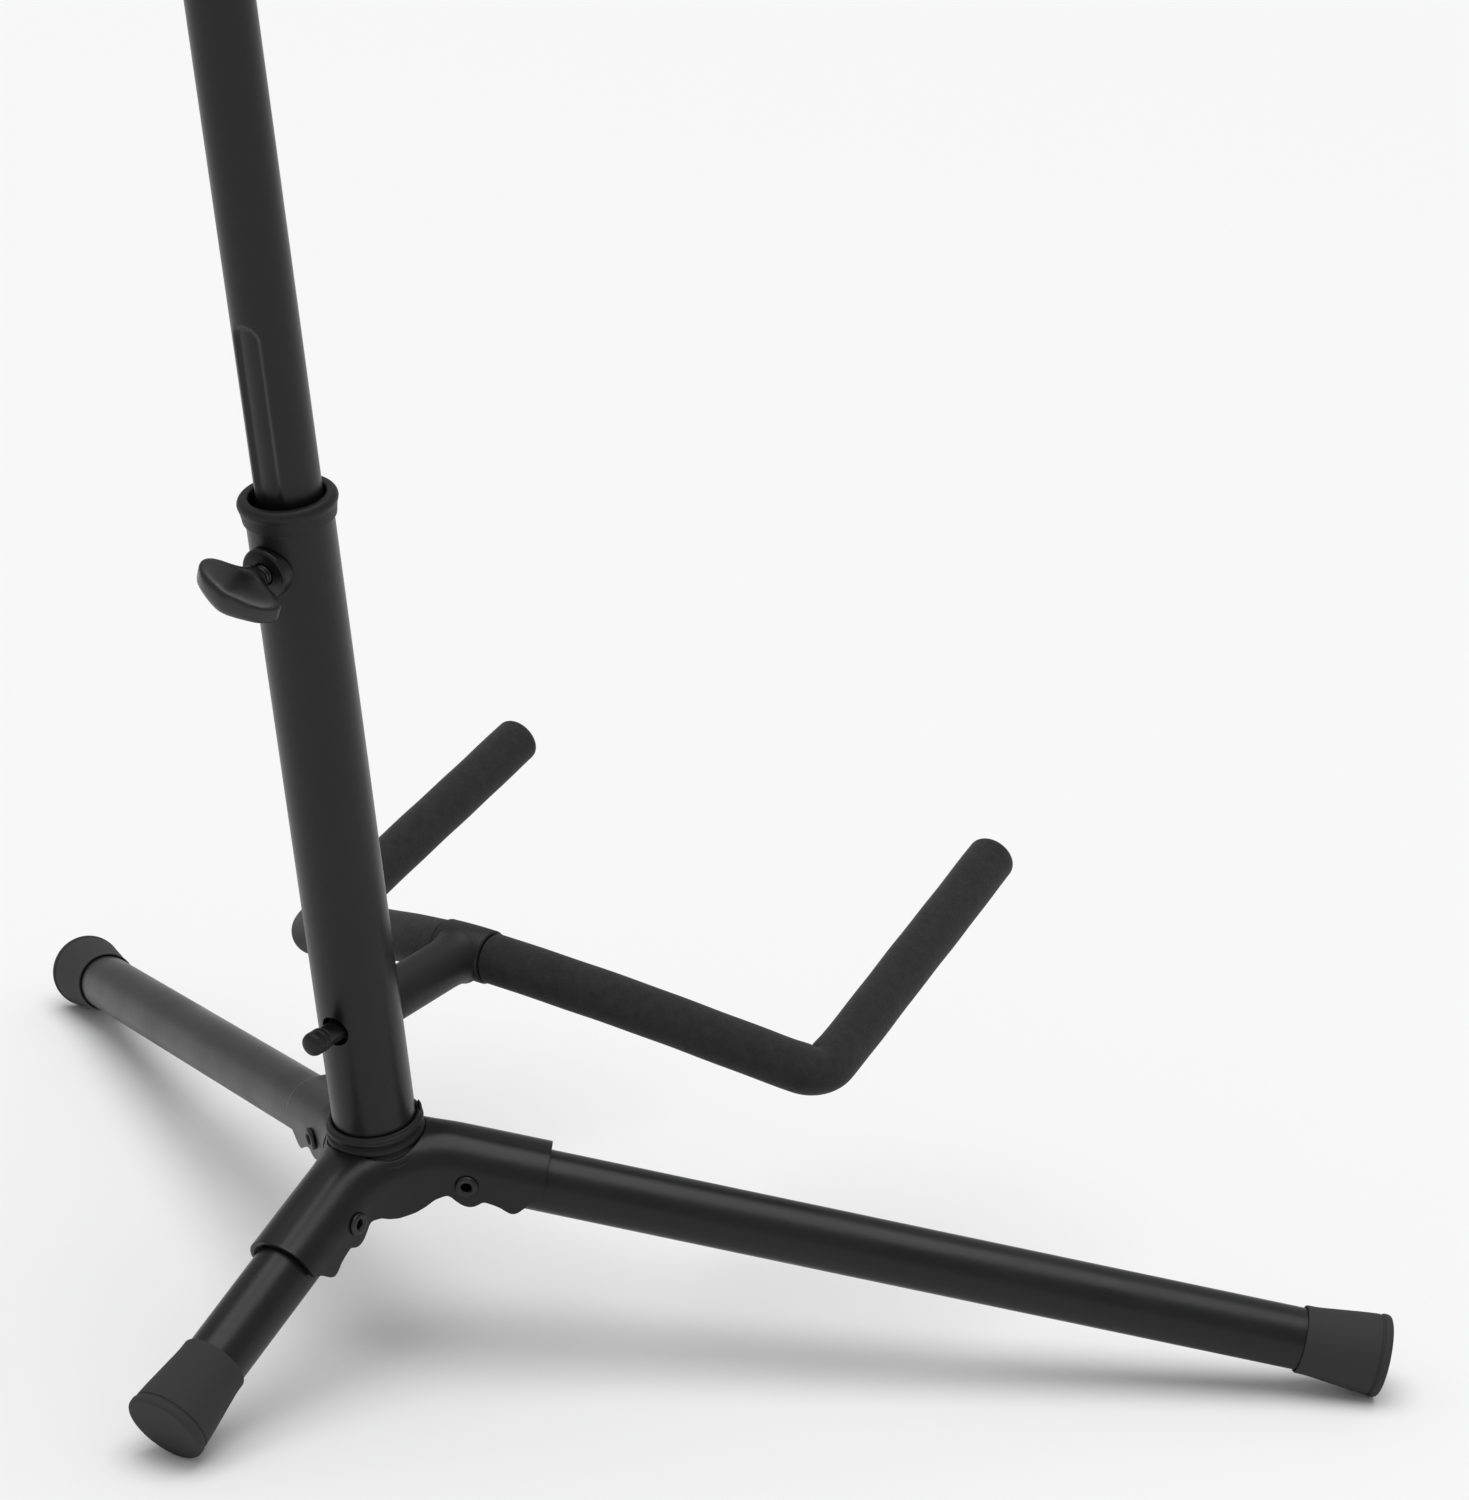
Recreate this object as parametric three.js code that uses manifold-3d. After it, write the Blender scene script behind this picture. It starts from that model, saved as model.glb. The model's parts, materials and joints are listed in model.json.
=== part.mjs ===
// A tripod instrument stand: a leaning two-part mast on a three-legged folding hub, a padded
// cradle on a spring-loaded pin near the foot of the mast, and a padded rest at its head.
// Millimetres, +Z up. The cradle reaches towards -Y and the short leg towards +Y.

import * as THREE from 'three';
import { mergeVertices } from 'three/addons/utils/BufferGeometryUtils.js';
import Module from 'manifold-3d';

const wasm = await Module();
wasm.setup();

// ---- driving dimensions ---------------------------------------------------------------------

const lean = THREE.MathUtils.degToRad(12.7); // mast, back from upright
const droop = THREE.MathUtils.degToRad(16.74); // legs, below the hub's own plane
const gap = 0.3; // running clearance between touching pieces

const frontLegLength = 311.1; // hub centre to the end of the foot cap
const legRadius = 9.5;
const legWall = 1.5;
const pivotReach = 28.3; // hub centre to the leg's pivot
const rivetRadius = 2.5;
const knuckleEnd = 36; // where the tube butts against its pivot knuckle
const capLength = 26;
const capMouthRadius = 10.4;
const capEndRadius = 12.7;
const capEndWall = 3.5;
const capBite = 0.7; // depth of the worn flat under each foot

const channelWall = 1.7;
const channelHalfWidth = 11.6;
const channelReach = 51;
const channelCrown = 10; // rounding of the hub's upper edge
const webRadius = 30; // concave wall between two channels
const webFoot = -10.8; // lower edge of the wall, before the droop
const hubDip = 4; // how far the roof sinks towards the mast
const hubDipReach = 26;
const seatFloor = -2.8; // hub frame height of the mast's seat

const lowerRadius = 12.5;
const lowerBore = 11.3;
const lowerTop = 212.7;
const collarRadius = 14.75;
const collarTop = 11.2;
const endRingRadius = 14.3;
const endRingBore = 10.8;
const endRingFoot = 209.6;
const endRingTop = 217.4;

const boltRadius = 4;
const boltHeadTop = -14.3;
const washerTop = -12.8;

const mastOffset = 1; // the clamp screw presses the upper tube forward by this much
const upperRadius = 9.5;
const upperBore = 7.4;
const upperFoot = 135;
const upperTop = 430;
const grooveFoot = 150;
const grooveTop = 271;
const grooveWidth = 9.5;
const grooveFloor = 8.15;

const clampHeight = 198.6;
const clampBossRadius = 8.2;
const clampBossFace = 15.2;
const screwRadius = 3;
const screwTip = 7.5;
const knobInner = 17.6;
const knobOuter = 34;
const screwEnd = 26.5;
const wingHalfSpan = 13.8;
const wingDepth = 8;
const wingTurn = THREE.MathUtils.degToRad(21.4);

const cradleHeight = 45.9;
const cradleDroop = THREE.MathUtils.degToRad(6.84);
const stemRadius = 7.65;
const pinRadius = 3.2;
const pinCapRadius = 3.6;
const pinTail = -21.4;
const pinTailRadius = 1.8;
const pinShoulder = -17.9; // where the pin steps down to its tail
const pinNose = 40;
const frontHole = 3.6;
const rearHole = 4.7;
const teeReach = 52.8;
const teeRadius = 8.3;
const teeHalfLength = 8.7;
const rodRadius = 5;
const rodBore = 5.6; // the way for the rod through foam and tee
const sleeveRadius = 7.75;
const sleeveTip = 4; // foam beyond the end of the rod
const bendRadius = 11;

const cradleRoute = {
  reach: teeReach, // along the stem axis, to the middle of the crossbar
  halfSpan: 98.3, // middle to bend, sideways
  forward: 45.7, // bend ahead of the middle
  drop: 36.4, // bend below the middle
  startSlope: 0.22, // how soon the bar leaves the tee's own line
  startBlend: 8,
  arm: new THREE.Vector3(110.6, -4.9, 30.3), // bend to tip
};

const restHeight = 422;
const restSocketFoot = 406;
const restTeeHalfLength = 12;
const restRoute = {
  reach: 22,
  halfSpan: 47,
  forward: 16,
  drop: 0,
  startSlope: 0.02,
  startBlend: 8,
  arm: new THREE.Vector3(74, 3, 13),
};

const sides = 20; // facets of a round tube
const fineSides = 12; // facets of a small round piece

// ---- materials ------------------------------------------------------------------------------

const finish = (color, roughness, metalness) =>
  new THREE.MeshStandardMaterial({ color, roughness, metalness });

const materials = {
  paintedSteel: finish(0x202022, 0.42, 0.3),
  castHub: finish(0x242426, 0.45, 0.2),
  blackPlastic: finish(0x18181a, 0.35, 0),
  rubber: finish(0x262627, 0.75, 0),
  foam: finish(0x303031, 0.95, 0),
  steel: finish(0x8a8c90, 0.35, 0.9),
  darkSteel: finish(0x2c2c2e, 0.4, 0.8),
};

// ---- solids ---------------------------------------------------------------------------------

function weld(geometry) {
  const bare = geometry.clone();
  bare.deleteAttribute('normal');
  bare.deleteAttribute('uv');
  const merged = mergeVertices(bare, 1e-4);
  const index = merged.index.array;
  const kept = [];
  for (let i = 0; i < index.length; i += 3) {
    const [a, b, c] = [index[i], index[i + 1], index[i + 2]];
    if (a !== b && b !== c && c !== a) kept.push(a, b, c);
  }
  merged.setIndex(kept);
  return merged;
}

function toSolid(geometry) {
  const welded = weld(geometry);
  const mesh = new wasm.Mesh({
    numProp: 3,
    vertProperties: Float32Array.from(welded.attributes.position.array),
    triVerts: Uint32Array.from(welded.index.array),
  });
  return new wasm.Manifold(mesh);
}

function toGeometry(solid) {
  const mesh = solid.getMesh();
  const geometry = new THREE.BufferGeometry();
  geometry.setAttribute('position', new THREE.BufferAttribute(mesh.vertProperties, 3));
  geometry.setIndex(new THREE.BufferAttribute(mesh.triVerts, 1));
  return geometry;
}

// A solid of revolution about Z from [radius, height] points. An open outline starts and ends
// on the axis, and a closed one comes back to its first point.
function turned(outline, segments = sides) {
  const points = outline.map(([radius, height]) => new THREE.Vector2(radius, height));
  return weld(new THREE.LatheGeometry(points, segments).rotateX(Math.PI / 2));
}

function ring(innerRadius, outerRadius, from, to, segments = sides) {
  return turned([
    [innerRadius, from],
    [outerRadius, from],
    [outerRadius, to],
    [innerRadius, to],
    [innerRadius, from],
  ], segments);
}

function rod(radius, from, to, segments = fineSides) {
  return turned([[0, from], [radius, from], [radius, to], [0, to]], segments);
}

const alongX = (geometry) => geometry.rotateY(Math.PI / 2);
const alongY = (geometry) => geometry.rotateX(-Math.PI / 2);

// ---- padded bars ----------------------------------------------------------------------------

// A path through a list of points, sampled exactly at those points.
class Route extends THREE.Curve {
  constructor(points) {
    super();
    this.points = points;
  }

  getPointAt(share) {
    return this.points[Math.round(share * (this.points.length - 1))].clone();
  }

  getTangentAt(share) {
    const last = this.points.length - 1;
    const at = Math.round(share * last);
    const before = this.points[Math.max(at - 1, 0)];
    const after = this.points[Math.min(at + 1, last)];
    return after.clone().sub(before).normalize();
  }

  getSpacedPoints() {
    return this.points.map((point) => point.clone());
  }
}

function swept(points, radius, segments) {
  const circle = new THREE.Shape();
  circle.absarc(0, 0, radius, 0, 2 * Math.PI, false);
  const settings = { steps: points.length - 1, curveSegments: segments / 2, bevelEnabled: false };
  settings.extrudePath = new Route(points);
  return weld(new THREE.ExtrudeGeometry(circle, settings));
}

// How far the crossbar has moved towards its bend at a sideways distance from its middle.
function barOffset(route, across) {
  const depth = Math.hypot(route.forward, route.drop);
  const blend = (y) => route.startSlope * (Math.hypot(y, route.startBlend) - route.startBlend);
  const curl = (depth - blend(route.halfSpan)) / route.halfSpan ** 2;
  return (blend(across) + curl * across ** 2) / depth;
}

function barPoint(route, across) {
  const share = barOffset(route, across);
  return new THREE.Vector3(route.reach + share * route.forward, across, -share * route.drop);
}

// Half of the bar, from its middle round the bend to the tip: +1 and -1 are the two sides.
function halfRoute(route, side, tipGrowth = 0) {
  const corner = barPoint(route, route.halfSpan);
  const inward = corner.clone().sub(barPoint(route, route.halfSpan - 1)).normalize();
  const outward = route.arm.clone().normalize();
  const turn = inward.angleTo(outward);
  const setback = bendRadius * Math.tan(turn / 2);
  const lastAcross = route.halfSpan - setback * inward.y;
  const points = [];
  const barSteps = 7;
  for (let i = 0; i < barSteps; i += 1) {
    points.push(barPoint(route, (lastAcross * i) / barSteps));
  }
  const start = corner.clone().addScaledVector(inward, -setback);
  const normal = outward.clone().addScaledVector(inward, -outward.dot(inward)).normalize();
  const bendSteps = 5;
  for (let i = 0; i <= bendSteps; i += 1) {
    const angle = (turn * i) / bendSteps;
    const point = start.clone().addScaledVector(inward, bendRadius * Math.sin(angle));
    points.push(point.addScaledVector(normal, bendRadius * (1 - Math.cos(angle))));
  }
  const armEnd = corner.clone().add(route.arm).addScaledVector(outward, tipGrowth);
  points.push(points[points.length - 1].clone().lerp(armEnd, 0.5), armEnd);
  for (const point of points) point.y *= side;
  return points;
}

function barRod(route, segments = 8) {
  const left = halfRoute(route, 1, -sleeveTip);
  const right = halfRoute(route, -1, -sleeveTip);
  return swept([...right.slice(1).reverse(), ...left], rodRadius, segments);
}

// A foam sleeve over one half of the bar, cut square where it meets the tee.
function barSleeve(route, side, from) {
  const outer = toSolid(swept(halfRoute(route, side), sleeveRadius, 12));
  const inner = toSolid(swept(halfRoute(route, side, gap - sleeveTip), rodBore, 8));
  const tee = new THREE.BoxGeometry(200, 2 * from, 200).translate(route.reach, 0, 0);
  return toGeometry(outer.subtract(inner).subtract(toSolid(tee)));
}

// ---- hub ------------------------------------------------------------------------------------

// The outline of three equal arms joined by concave arcs, moved inwards by inset.
function hubOutline(inset) {
  const halfWidth = channelHalfWidth - inset;
  const arcRadius = webRadius + inset;
  const third = (2 * Math.PI) / 3;
  const centreReach = (halfWidth + arcRadius) / Math.sin(third / 2);
  const armEnd = channelReach + 8;
  const arcSteps = 6;
  const points = [];
  for (let arm = 0; arm < 3; arm += 1) {
    const heading = Math.PI / 2 + arm * third;
    for (const across of [-halfWidth, halfWidth]) {
      points.push(new THREE.Vector2(armEnd, across).rotateAround(new THREE.Vector2(), heading));
    }
    const bisector = heading + third / 2;
    for (let i = 0; i <= arcSteps; i += 1) {
      const angle = bisector + Math.PI + (third / 4) * (1 - (2 * i) / arcSteps);
      points.push(new THREE.Vector2(
        centreReach * Math.cos(bisector) + arcRadius * Math.cos(angle),
        centreReach * Math.sin(bisector) + arcRadius * Math.sin(angle),
      ));
    }
  }
  return points;
}

// The triangles that fill an outline, seen anticlockwise from above.
function capFaces(outline) {
  const faces = THREE.ShapeUtils.triangulateShape(outline, []).flat();
  const corners = faces.slice(0, 3).map((i) => outline[i]);
  return THREE.ShapeUtils.area(corners) > 0 ? faces : faces.reverse();
}

// A closed shell through equal outlines at rising levels. Each level is [inset, height, sinks],
// and heights are measured from the drooping surface that the legs' axes lie on. A level that
// sinks also follows the roof's dip towards the mast.
function hubLayers(levels, dip) {
  const rings = levels.map(([inset]) => hubOutline(inset));
  const count = rings[0].length;
  const positions = [];
  levels.forEach(([, height, sinks], level) => {
    for (const point of rings[level]) {
      const reach = point.length();
      const near = THREE.MathUtils.smoothstep(hubDipReach - reach, 0, hubDipReach);
      const sink = sinks ? dip * near : 0;
      positions.push(point.x, point.y, height - Math.tan(droop) * reach - sink);
    }
  });
  const index = [];
  for (let level = 0; level + 1 < levels.length; level += 1) {
    for (let i = 0; i < count; i += 1) {
      const next = (i + 1) % count;
      const [a, b] = [level * count + i, level * count + next];
      index.push(a, b, b + count, a, b + count, a + count);
    }
  }
  const top = (levels.length - 1) * count;
  index.push(...capFaces(rings[0]).reverse());
  index.push(...capFaces(rings[levels.length - 1]).map((i) => i + top));
  const geometry = new THREE.BufferGeometry();
  geometry.setAttribute('position', new THREE.Float32BufferAttribute(positions, 3));
  geometry.setIndex(index);
  return toSolid(geometry);
}

function crownLevels(inset, roof, floor) {
  const crown = channelCrown - inset;
  const levels = [[inset, floor, false]];
  const crownSteps = 4;
  for (let i = 0; i <= crownSteps; i += 1) {
    const angle = (Math.PI / 2) * (i / crownSteps);
    const rise = crown * (1 - Math.sin(angle));
    levels.push([inset + crown * (1 - Math.cos(angle)), roof - rise, true]);
  }
  return levels;
}

// What is cut away below a channel's side walls, drawn along the leg, with a rounded lobe
// under the pivot and a small lug near the channel's mouth.
function wallCut() {
  const lobeRadius = 7.2;
  const below = -40;
  const cut = new THREE.Shape();
  cut.moveTo(13.5, below);
  cut.lineTo(13.5, -15);
  cut.quadraticCurveTo(15.5, -5.8, 20.6, -4.9);
  cut.absarc(pivotReach, 0, lobeRadius, Math.PI * 1.22, Math.PI * 1.78, false);
  cut.quadraticCurveTo(39, -5, 41.6, -7);
  cut.quadraticCurveTo(44.6, -7.8, 46.4, -4);
  cut.lineTo(channelReach + 12, -1);
  cut.lineTo(channelReach + 12, below);
  const width = 2 * channelHalfWidth + 4;
  const settings = { depth: width, curveSegments: 4, bevelEnabled: false };
  const solid = new THREE.ExtrudeGeometry(cut, settings);
  return toSolid(solid.translate(0, 0, -width / 2).rotateX(Math.PI / 2));
}

const legHeadings = [
  ['rear', Math.PI / 2],
  ['left', (Math.PI * 7) / 6],
  ['right', (Math.PI * 11) / 6],
];

function legMatrix(heading) {
  return new THREE.Matrix4().makeRotationFromEuler(new THREE.Euler(0, droop, heading, 'ZYX'));
}

const placed = (geometry, matrix) => toSolid(geometry.clone().applyMatrix4(matrix));

const pivotHole = () => alongY(rod(rivetRadius + gap, -20, 20)).translate(pivotReach, 0, 0);

function hubBody() {
  const outerRoof = (legRadius + gap + channelWall) / Math.cos(droop);
  const innerRoof = (legRadius + 2 * gap) / Math.cos(droop);
  const above = 30;
  const below = -40;
  let body = hubLayers(crownLevels(0, outerRoof, webFoot), hubDip);
  let hollow = hubLayers(crownLevels(channelWall, innerRoof, below), hubDip);
  const cupRadius = collarRadius + gap + 1.8;
  const bossRadius = 8;
  const bossFoot = -12.5;
  const plateFoot = -6.8;
  hollow = hollow.subtract(toSolid(rod(cupRadius, plateFoot, above, sides)));
  hollow = hollow.subtract(toSolid(rod(bossRadius, bossFoot, above, sides)));
  body = body.subtract(hollow);
  body = body.subtract(toSolid(rod(collarRadius + gap, seatFloor, above, sides)));
  body = body.subtract(toSolid(rod(boltRadius + gap, below, above)));
  const beyond = 30;
  const mouthBlock = new THREE.BoxGeometry(beyond, 40, 60);
  mouthBlock.translate(channelReach + beyond / 2, 0, 0);
  const lower = toGeometry(wallCut());
  for (const [, heading] of legHeadings) {
    const matrix = legMatrix(heading);
    body = body.subtract(placed(mouthBlock, matrix));
    body = body.subtract(placed(lower, matrix));
    body = body.subtract(placed(pivotHole(), matrix));
  }
  return toGeometry(body);
}

function hubCollar() {
  const bore = lowerRadius + gap;
  const valley = 13.9;
  const outline = [[bore, seatFloor + gap], [valley, seatFloor + gap]];
  const ridges = [2.9, 6.1, 9.3];
  const ridgeHalf = 1.35;
  const crestHalf = 0.5;
  for (const ridge of ridges) {
    outline.push([valley, ridge - ridgeHalf], [collarRadius, ridge - crestHalf]);
    outline.push([collarRadius, ridge + crestHalf], [valley, ridge + ridgeHalf]);
  }
  outline.push([bore, collarTop], [bore, seatFloor + gap]);
  const tab = new THREE.BoxGeometry(1.6, 5, 6).translate(13.8, 0, collarTop + 0.2);
  tab.rotateZ(THREE.MathUtils.degToRad(226));
  return toGeometry(toSolid(turned(outline)).add(toSolid(tab)));
}

function hubBolt() {
  const acrossFlats = 13;
  const headHeight = 5;
  const shankTop = 10;
  const headRadius = acrossFlats / 2 / Math.cos(Math.PI / 6);
  const head = rod(headRadius, boltHeadTop - headHeight, boltHeadTop, 6);
  return toGeometry(toSolid(head).add(toSolid(rod(boltRadius, boltHeadTop - 1, shankTop))));
}

// ---- mast -----------------------------------------------------------------------------------

function cradleAxisMatrix() {
  const turn = new THREE.Euler(0, cradleDroop, -Math.PI / 2, 'ZYX');
  return new THREE.Matrix4().makeRotationFromEuler(turn).setPosition(0, 0, cradleHeight);
}

function lowerTube() {
  const matrix = cradleAxisMatrix();
  let tube = toSolid(ring(lowerBore, lowerRadius, seatFloor + gap, lowerTop));
  tube = tube.subtract(placed(alongX(rod(frontHole, 2, 30)), matrix));
  tube = tube.subtract(placed(alongX(rod(rearHole, -30, -2)), matrix));
  const screwHole = alongY(rod(screwRadius + 0.5, 2, 30)).translate(0, 0, clampHeight);
  return toGeometry(tube.subtract(toSolid(screwHole)));
}

function endRing() {
  const socket = lowerRadius + gap;
  const shoulder = lowerTop + gap;
  const round = 1.6;
  return turned([
    [socket, endRingFoot],
    [endRingRadius - round / 2, endRingFoot],
    [endRingRadius, endRingFoot + round],
    [endRingRadius, endRingTop - 2 * round],
    [endRingRadius - round, endRingTop - round / 3],
    [endRingRadius - 1.6 * round, endRingTop],
    [endRingBore + round / 2, endRingTop],
    [endRingBore, endRingTop - round / 2],
    [endRingBore, shoulder],
    [socket, shoulder],
    [socket, endRingFoot],
  ]);
}

function upperTube() {
  let tube = toSolid(ring(upperBore, upperRadius, upperFoot, upperTop, sides));
  const end = grooveWidth / 2;
  const flat = new THREE.Shape();
  flat.absarc(0, grooveTop - end, end, 0, Math.PI, false);
  flat.absarc(0, grooveFoot + end, end, Math.PI, 2 * Math.PI, false);
  const depth = 8;
  const settings = { depth, curveSegments: 8, bevelEnabled: false };
  const groove = new THREE.ExtrudeGeometry(flat, settings);
  groove.rotateX(Math.PI / 2).translate(0, grooveFloor + depth, 0);
  tube = tube.subtract(toSolid(groove));
  return toGeometry(tube);
}

function upperTubePlug() {
  const foot = upperFoot - 3;
  const shoulder = upperFoot - gap;
  const spigotRadius = upperBore - gap;
  const top = upperFoot + 10;
  return turned([
    [0, foot], [upperRadius, foot], [upperRadius, shoulder], [spigotRadius, shoulder],
    [spigotRadius, top], [0, top],
  ]);
}

function mastFootPlug() {
  const foot = seatFloor + gap;
  const top = 14;
  const plug = toSolid(rod(lowerBore - gap, foot, top, sides));
  const way = toSolid(rod(boltRadius + gap, foot - 5, top - 3));
  return toGeometry(plug.subtract(way));
}

// ---- clamp screw ----------------------------------------------------------------------------

function clampBoss() {
  const chamfer = 0.8;
  const bore = screwRadius + gap;
  const foot = 8;
  const outline = [
    [bore, foot], [clampBossRadius, foot],
    [clampBossRadius, clampBossFace - chamfer], [clampBossRadius - chamfer, clampBossFace],
    [bore, clampBossFace], [bore, foot],
  ];
  const saddle = new THREE.CylinderGeometry(lowerRadius + gap, lowerRadius + gap, 60, 36);
  return toGeometry(toSolid(turned(outline, 24)).subtract(toSolid(saddle)));
}

// The wing is drawn inside its rounding: out from the neck to a tip, and over to the other tip.
function wingKnob() {
  const rounding = 2.6;
  const neck = 2;
  const neckHeight = knobInner + rounding;
  const tip = wingHalfSpan - rounding;
  const tipHeight = 23.5;
  const crest = knobOuter - rounding;
  const shape = new THREE.Shape();
  shape.moveTo(-neck, neckHeight);
  shape.lineTo(neck, neckHeight);
  shape.quadraticCurveTo(6, 20.4, tip - 1.6, tipHeight - 2.2);
  shape.quadraticCurveTo(tip + 0.4, tipHeight - 1, tip, tipHeight + 1);
  shape.quadraticCurveTo(9, crest - 0.6, 0, crest);
  shape.quadraticCurveTo(-9, crest - 0.6, -tip, tipHeight + 1);
  shape.quadraticCurveTo(-tip - 0.4, tipHeight - 1, 1.6 - tip, tipHeight - 2.2);
  shape.quadraticCurveTo(-6, 20.4, -neck, neckHeight);
  const depth = wingDepth - 2 * rounding;
  const settings = {
    depth,
    curveSegments: 4,
    bevelEnabled: true,
    bevelSize: rounding,
    bevelThickness: rounding,
    bevelSegments: 2,
  };
  const wing = new THREE.ExtrudeGeometry(shape, settings);
  wing.translate(0, 0, -depth / 2).rotateX(Math.PI / 2);
  const socket = rod(screwRadius + gap, 0, screwEnd + 0.5);
  return toGeometry(toSolid(wing).subtract(toSolid(socket)));
}

function clampScrew() {
  return turned([
    [0, screwTip], [screwRadius - 0.9, screwTip], [screwRadius, screwTip + 1.2],
    [screwRadius, screwEnd], [0, screwEnd],
  ], fineSides);
}

// ---- cradle and rest ------------------------------------------------------------------------

function cradleTee() {
  const stem = alongX(rod(stemRadius, 4, teeReach, sides));
  const bar = alongY(rod(teeRadius, -teeHalfLength, teeHalfLength, sides));
  bar.translate(teeReach, 0, 0);
  let tee = toSolid(stem).add(toSolid(bar));
  const saddle = new THREE.CylinderGeometry(lowerRadius + gap, lowerRadius + gap, 80, 36);
  saddle.rotateX(Math.PI / 2).rotateY(-cradleDroop);
  tee = tee.subtract(toSolid(saddle));
  tee = tee.subtract(toSolid(alongX(rod(pinRadius + gap, 0, pinNose + gap))));
  return toGeometry(tee.subtract(channelFor(cradleRoute)));
}

// The way that the bar's rod takes through its tee.
function channelFor(route) {
  const [left, right] = [halfRoute(route, 1), halfRoute(route, -1)];
  const points = [...right.slice(1, 4).reverse(), ...left.slice(0, 4)];
  return toSolid(swept(points, rodBore, 8));
}

function cradlePin() {
  const flangeRadius = 6.4;
  const flangeBack = -8;
  const flangeFront = -6.8;
  return alongX(turned([
    [0, pinTail], [pinTailRadius, pinTail], [pinTailRadius, pinShoulder],
    [pinRadius, pinShoulder], [pinRadius, flangeBack], [flangeRadius, flangeBack],
    [flangeRadius, flangeFront], [pinRadius, flangeFront], [pinRadius, pinNose], [0, pinNose],
  ], fineSides));
}

// A button pressed on to the thin tail of the pin, with a groove round it and a domed end.
function pinCap() {
  const bore = pinTailRadius + gap;
  const end = pinTail - 3;
  return alongX(turned([
    [0, end], [pinCapRadius / 2, end + 0.3], [pinCapRadius, end + 1.6],
    [pinCapRadius, end + 3.8], [pinCapRadius - 0.3, end + 4.2], [pinCapRadius, end + 4.6],
    [pinCapRadius, pinShoulder - gap], [bore, pinShoulder - gap], [bore, pinTail - gap],
    [0, pinTail - gap],
  ], fineSides));
}

function pinSpring() {
  const coilRadius = 5.5;
  const turns = 4;
  const stepsPerTurn = 8;
  const from = -6;
  const to = 3;
  const points = [];
  for (let i = 0; i <= turns * stepsPerTurn; i += 1) {
    const angle = (2 * Math.PI * i) / stepsPerTurn;
    const along = from + ((to - from) * i) / (turns * stepsPerTurn);
    const [y, z] = [coilRadius * Math.cos(angle), coilRadius * Math.sin(angle)];
    points.push(new THREE.Vector3(along, y, z));
  }
  const wireRadius = 0.5;
  return swept(points, wireRadius, 4);
}

function restHead() {
  const socketRadius = 12.2;
  const socketFoot = restSocketFoot - restHeight;
  const tubeEnd = upperTop - restHeight;
  const socket = turned([
    [0, socketFoot], [socketRadius - 1, socketFoot], [socketRadius, socketFoot + 1],
    [socketRadius, tubeEnd + 2], [socketRadius - 3, tubeEnd + 5], [0, tubeEnd + 6],
  ]);
  const neck = alongX(rod(teeRadius - 0.6, 0, restRoute.reach, sides));
  const bar = alongY(rod(teeRadius, -restTeeHalfLength, restTeeHalfLength, sides));
  bar.translate(restRoute.reach, 0, 0);
  let head = toSolid(socket).add(toSolid(neck)).add(toSolid(bar));
  head = head.subtract(toSolid(rod(upperRadius + gap, socketFoot - 1, tubeEnd + gap, sides)));
  return toGeometry(head.subtract(channelFor(restRoute)));
}

// ---- legs -----------------------------------------------------------------------------------

function legKnuckle() {
  const outline = [];
  const domeSteps = 5;
  for (let i = 0; i <= domeSteps; i += 1) {
    const angle = (Math.PI / 2) * (i / domeSteps);
    outline.push([legRadius * Math.sin(angle), pivotReach - legRadius * Math.cos(angle)]);
  }
  const spigot = legRadius - legWall - gap;
  const spigotEnd = knuckleEnd + 14;
  outline.push([legRadius, knuckleEnd], [spigot, knuckleEnd], [spigot, spigotEnd]);
  outline.push([0, spigotEnd]);
  const solid = toSolid(alongX(turned(outline, sides)));
  return toGeometry(solid.subtract(toSolid(pivotHole())));
}

function legTube(length) {
  const end = length - capEndWall;
  return alongX(ring(legRadius - legWall, legRadius, knuckleEnd + gap, end, sides));
}

function footCap(length) {
  const mouth = length - capLength;
  const floor = length - capEndWall + gap;
  const bore = legRadius + gap;
  return alongX(turned([
    [0, floor], [bore, floor], [bore, mouth], [capMouthRadius, mouth],
    [capMouthRadius + 0.3, mouth + 5], [capEndRadius - 0.4, length - 5],
    [capEndRadius, length - 2.4], [capEndRadius, length - 0.9],
    [capEndRadius - 0.9, length], [0, length],
  ]));
}

function pivotRivet() {
  const bore = 1.5;
  const headRadius = 3.6;
  const wall = channelHalfWidth + gap;
  const face = wall + 0.9;
  return alongY(turned([
    [bore, -face], [headRadius - 0.4, -face], [headRadius, -face + 0.4], [headRadius, -wall],
    [rivetRadius, -wall], [rivetRadius, wall], [headRadius, wall], [headRadius, face - 0.4],
    [headRadius - 0.4, face], [bore, face], [bore, -face],
  ], fineSides)).translate(pivotReach, 0, 0);
}

// ---- assembly -------------------------------------------------------------------------------

// How fast a leg falls per millimetre of its length, for a heading about the leaning mast.
function fallPerLength(heading) {
  return Math.sin(heading) * Math.cos(droop) * Math.sin(lean) + Math.sin(droop) * Math.cos(lean);
}

// The lowest point of a foot cap's end below the end's centre, less the flat worn under it.
function footDepth(heading) {
  return capEndRadius * Math.sqrt(1 - fallPerLength(heading) ** 2) - capBite;
}

const frontHeading = legHeadings[1][1];
const rearHeading = legHeadings[0][1];
const hubHeight = frontLegLength * fallPerLength(frontHeading) + footDepth(frontHeading);
const rearLegLength = (hubHeight - footDepth(rearHeading)) / fallPerLength(rearHeading);

const stand = new THREE.Group();
const hubFrame = new THREE.Group();
hubFrame.position.z = hubHeight;
hubFrame.rotation.x = -lean;
stand.add(hubFrame);

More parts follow.
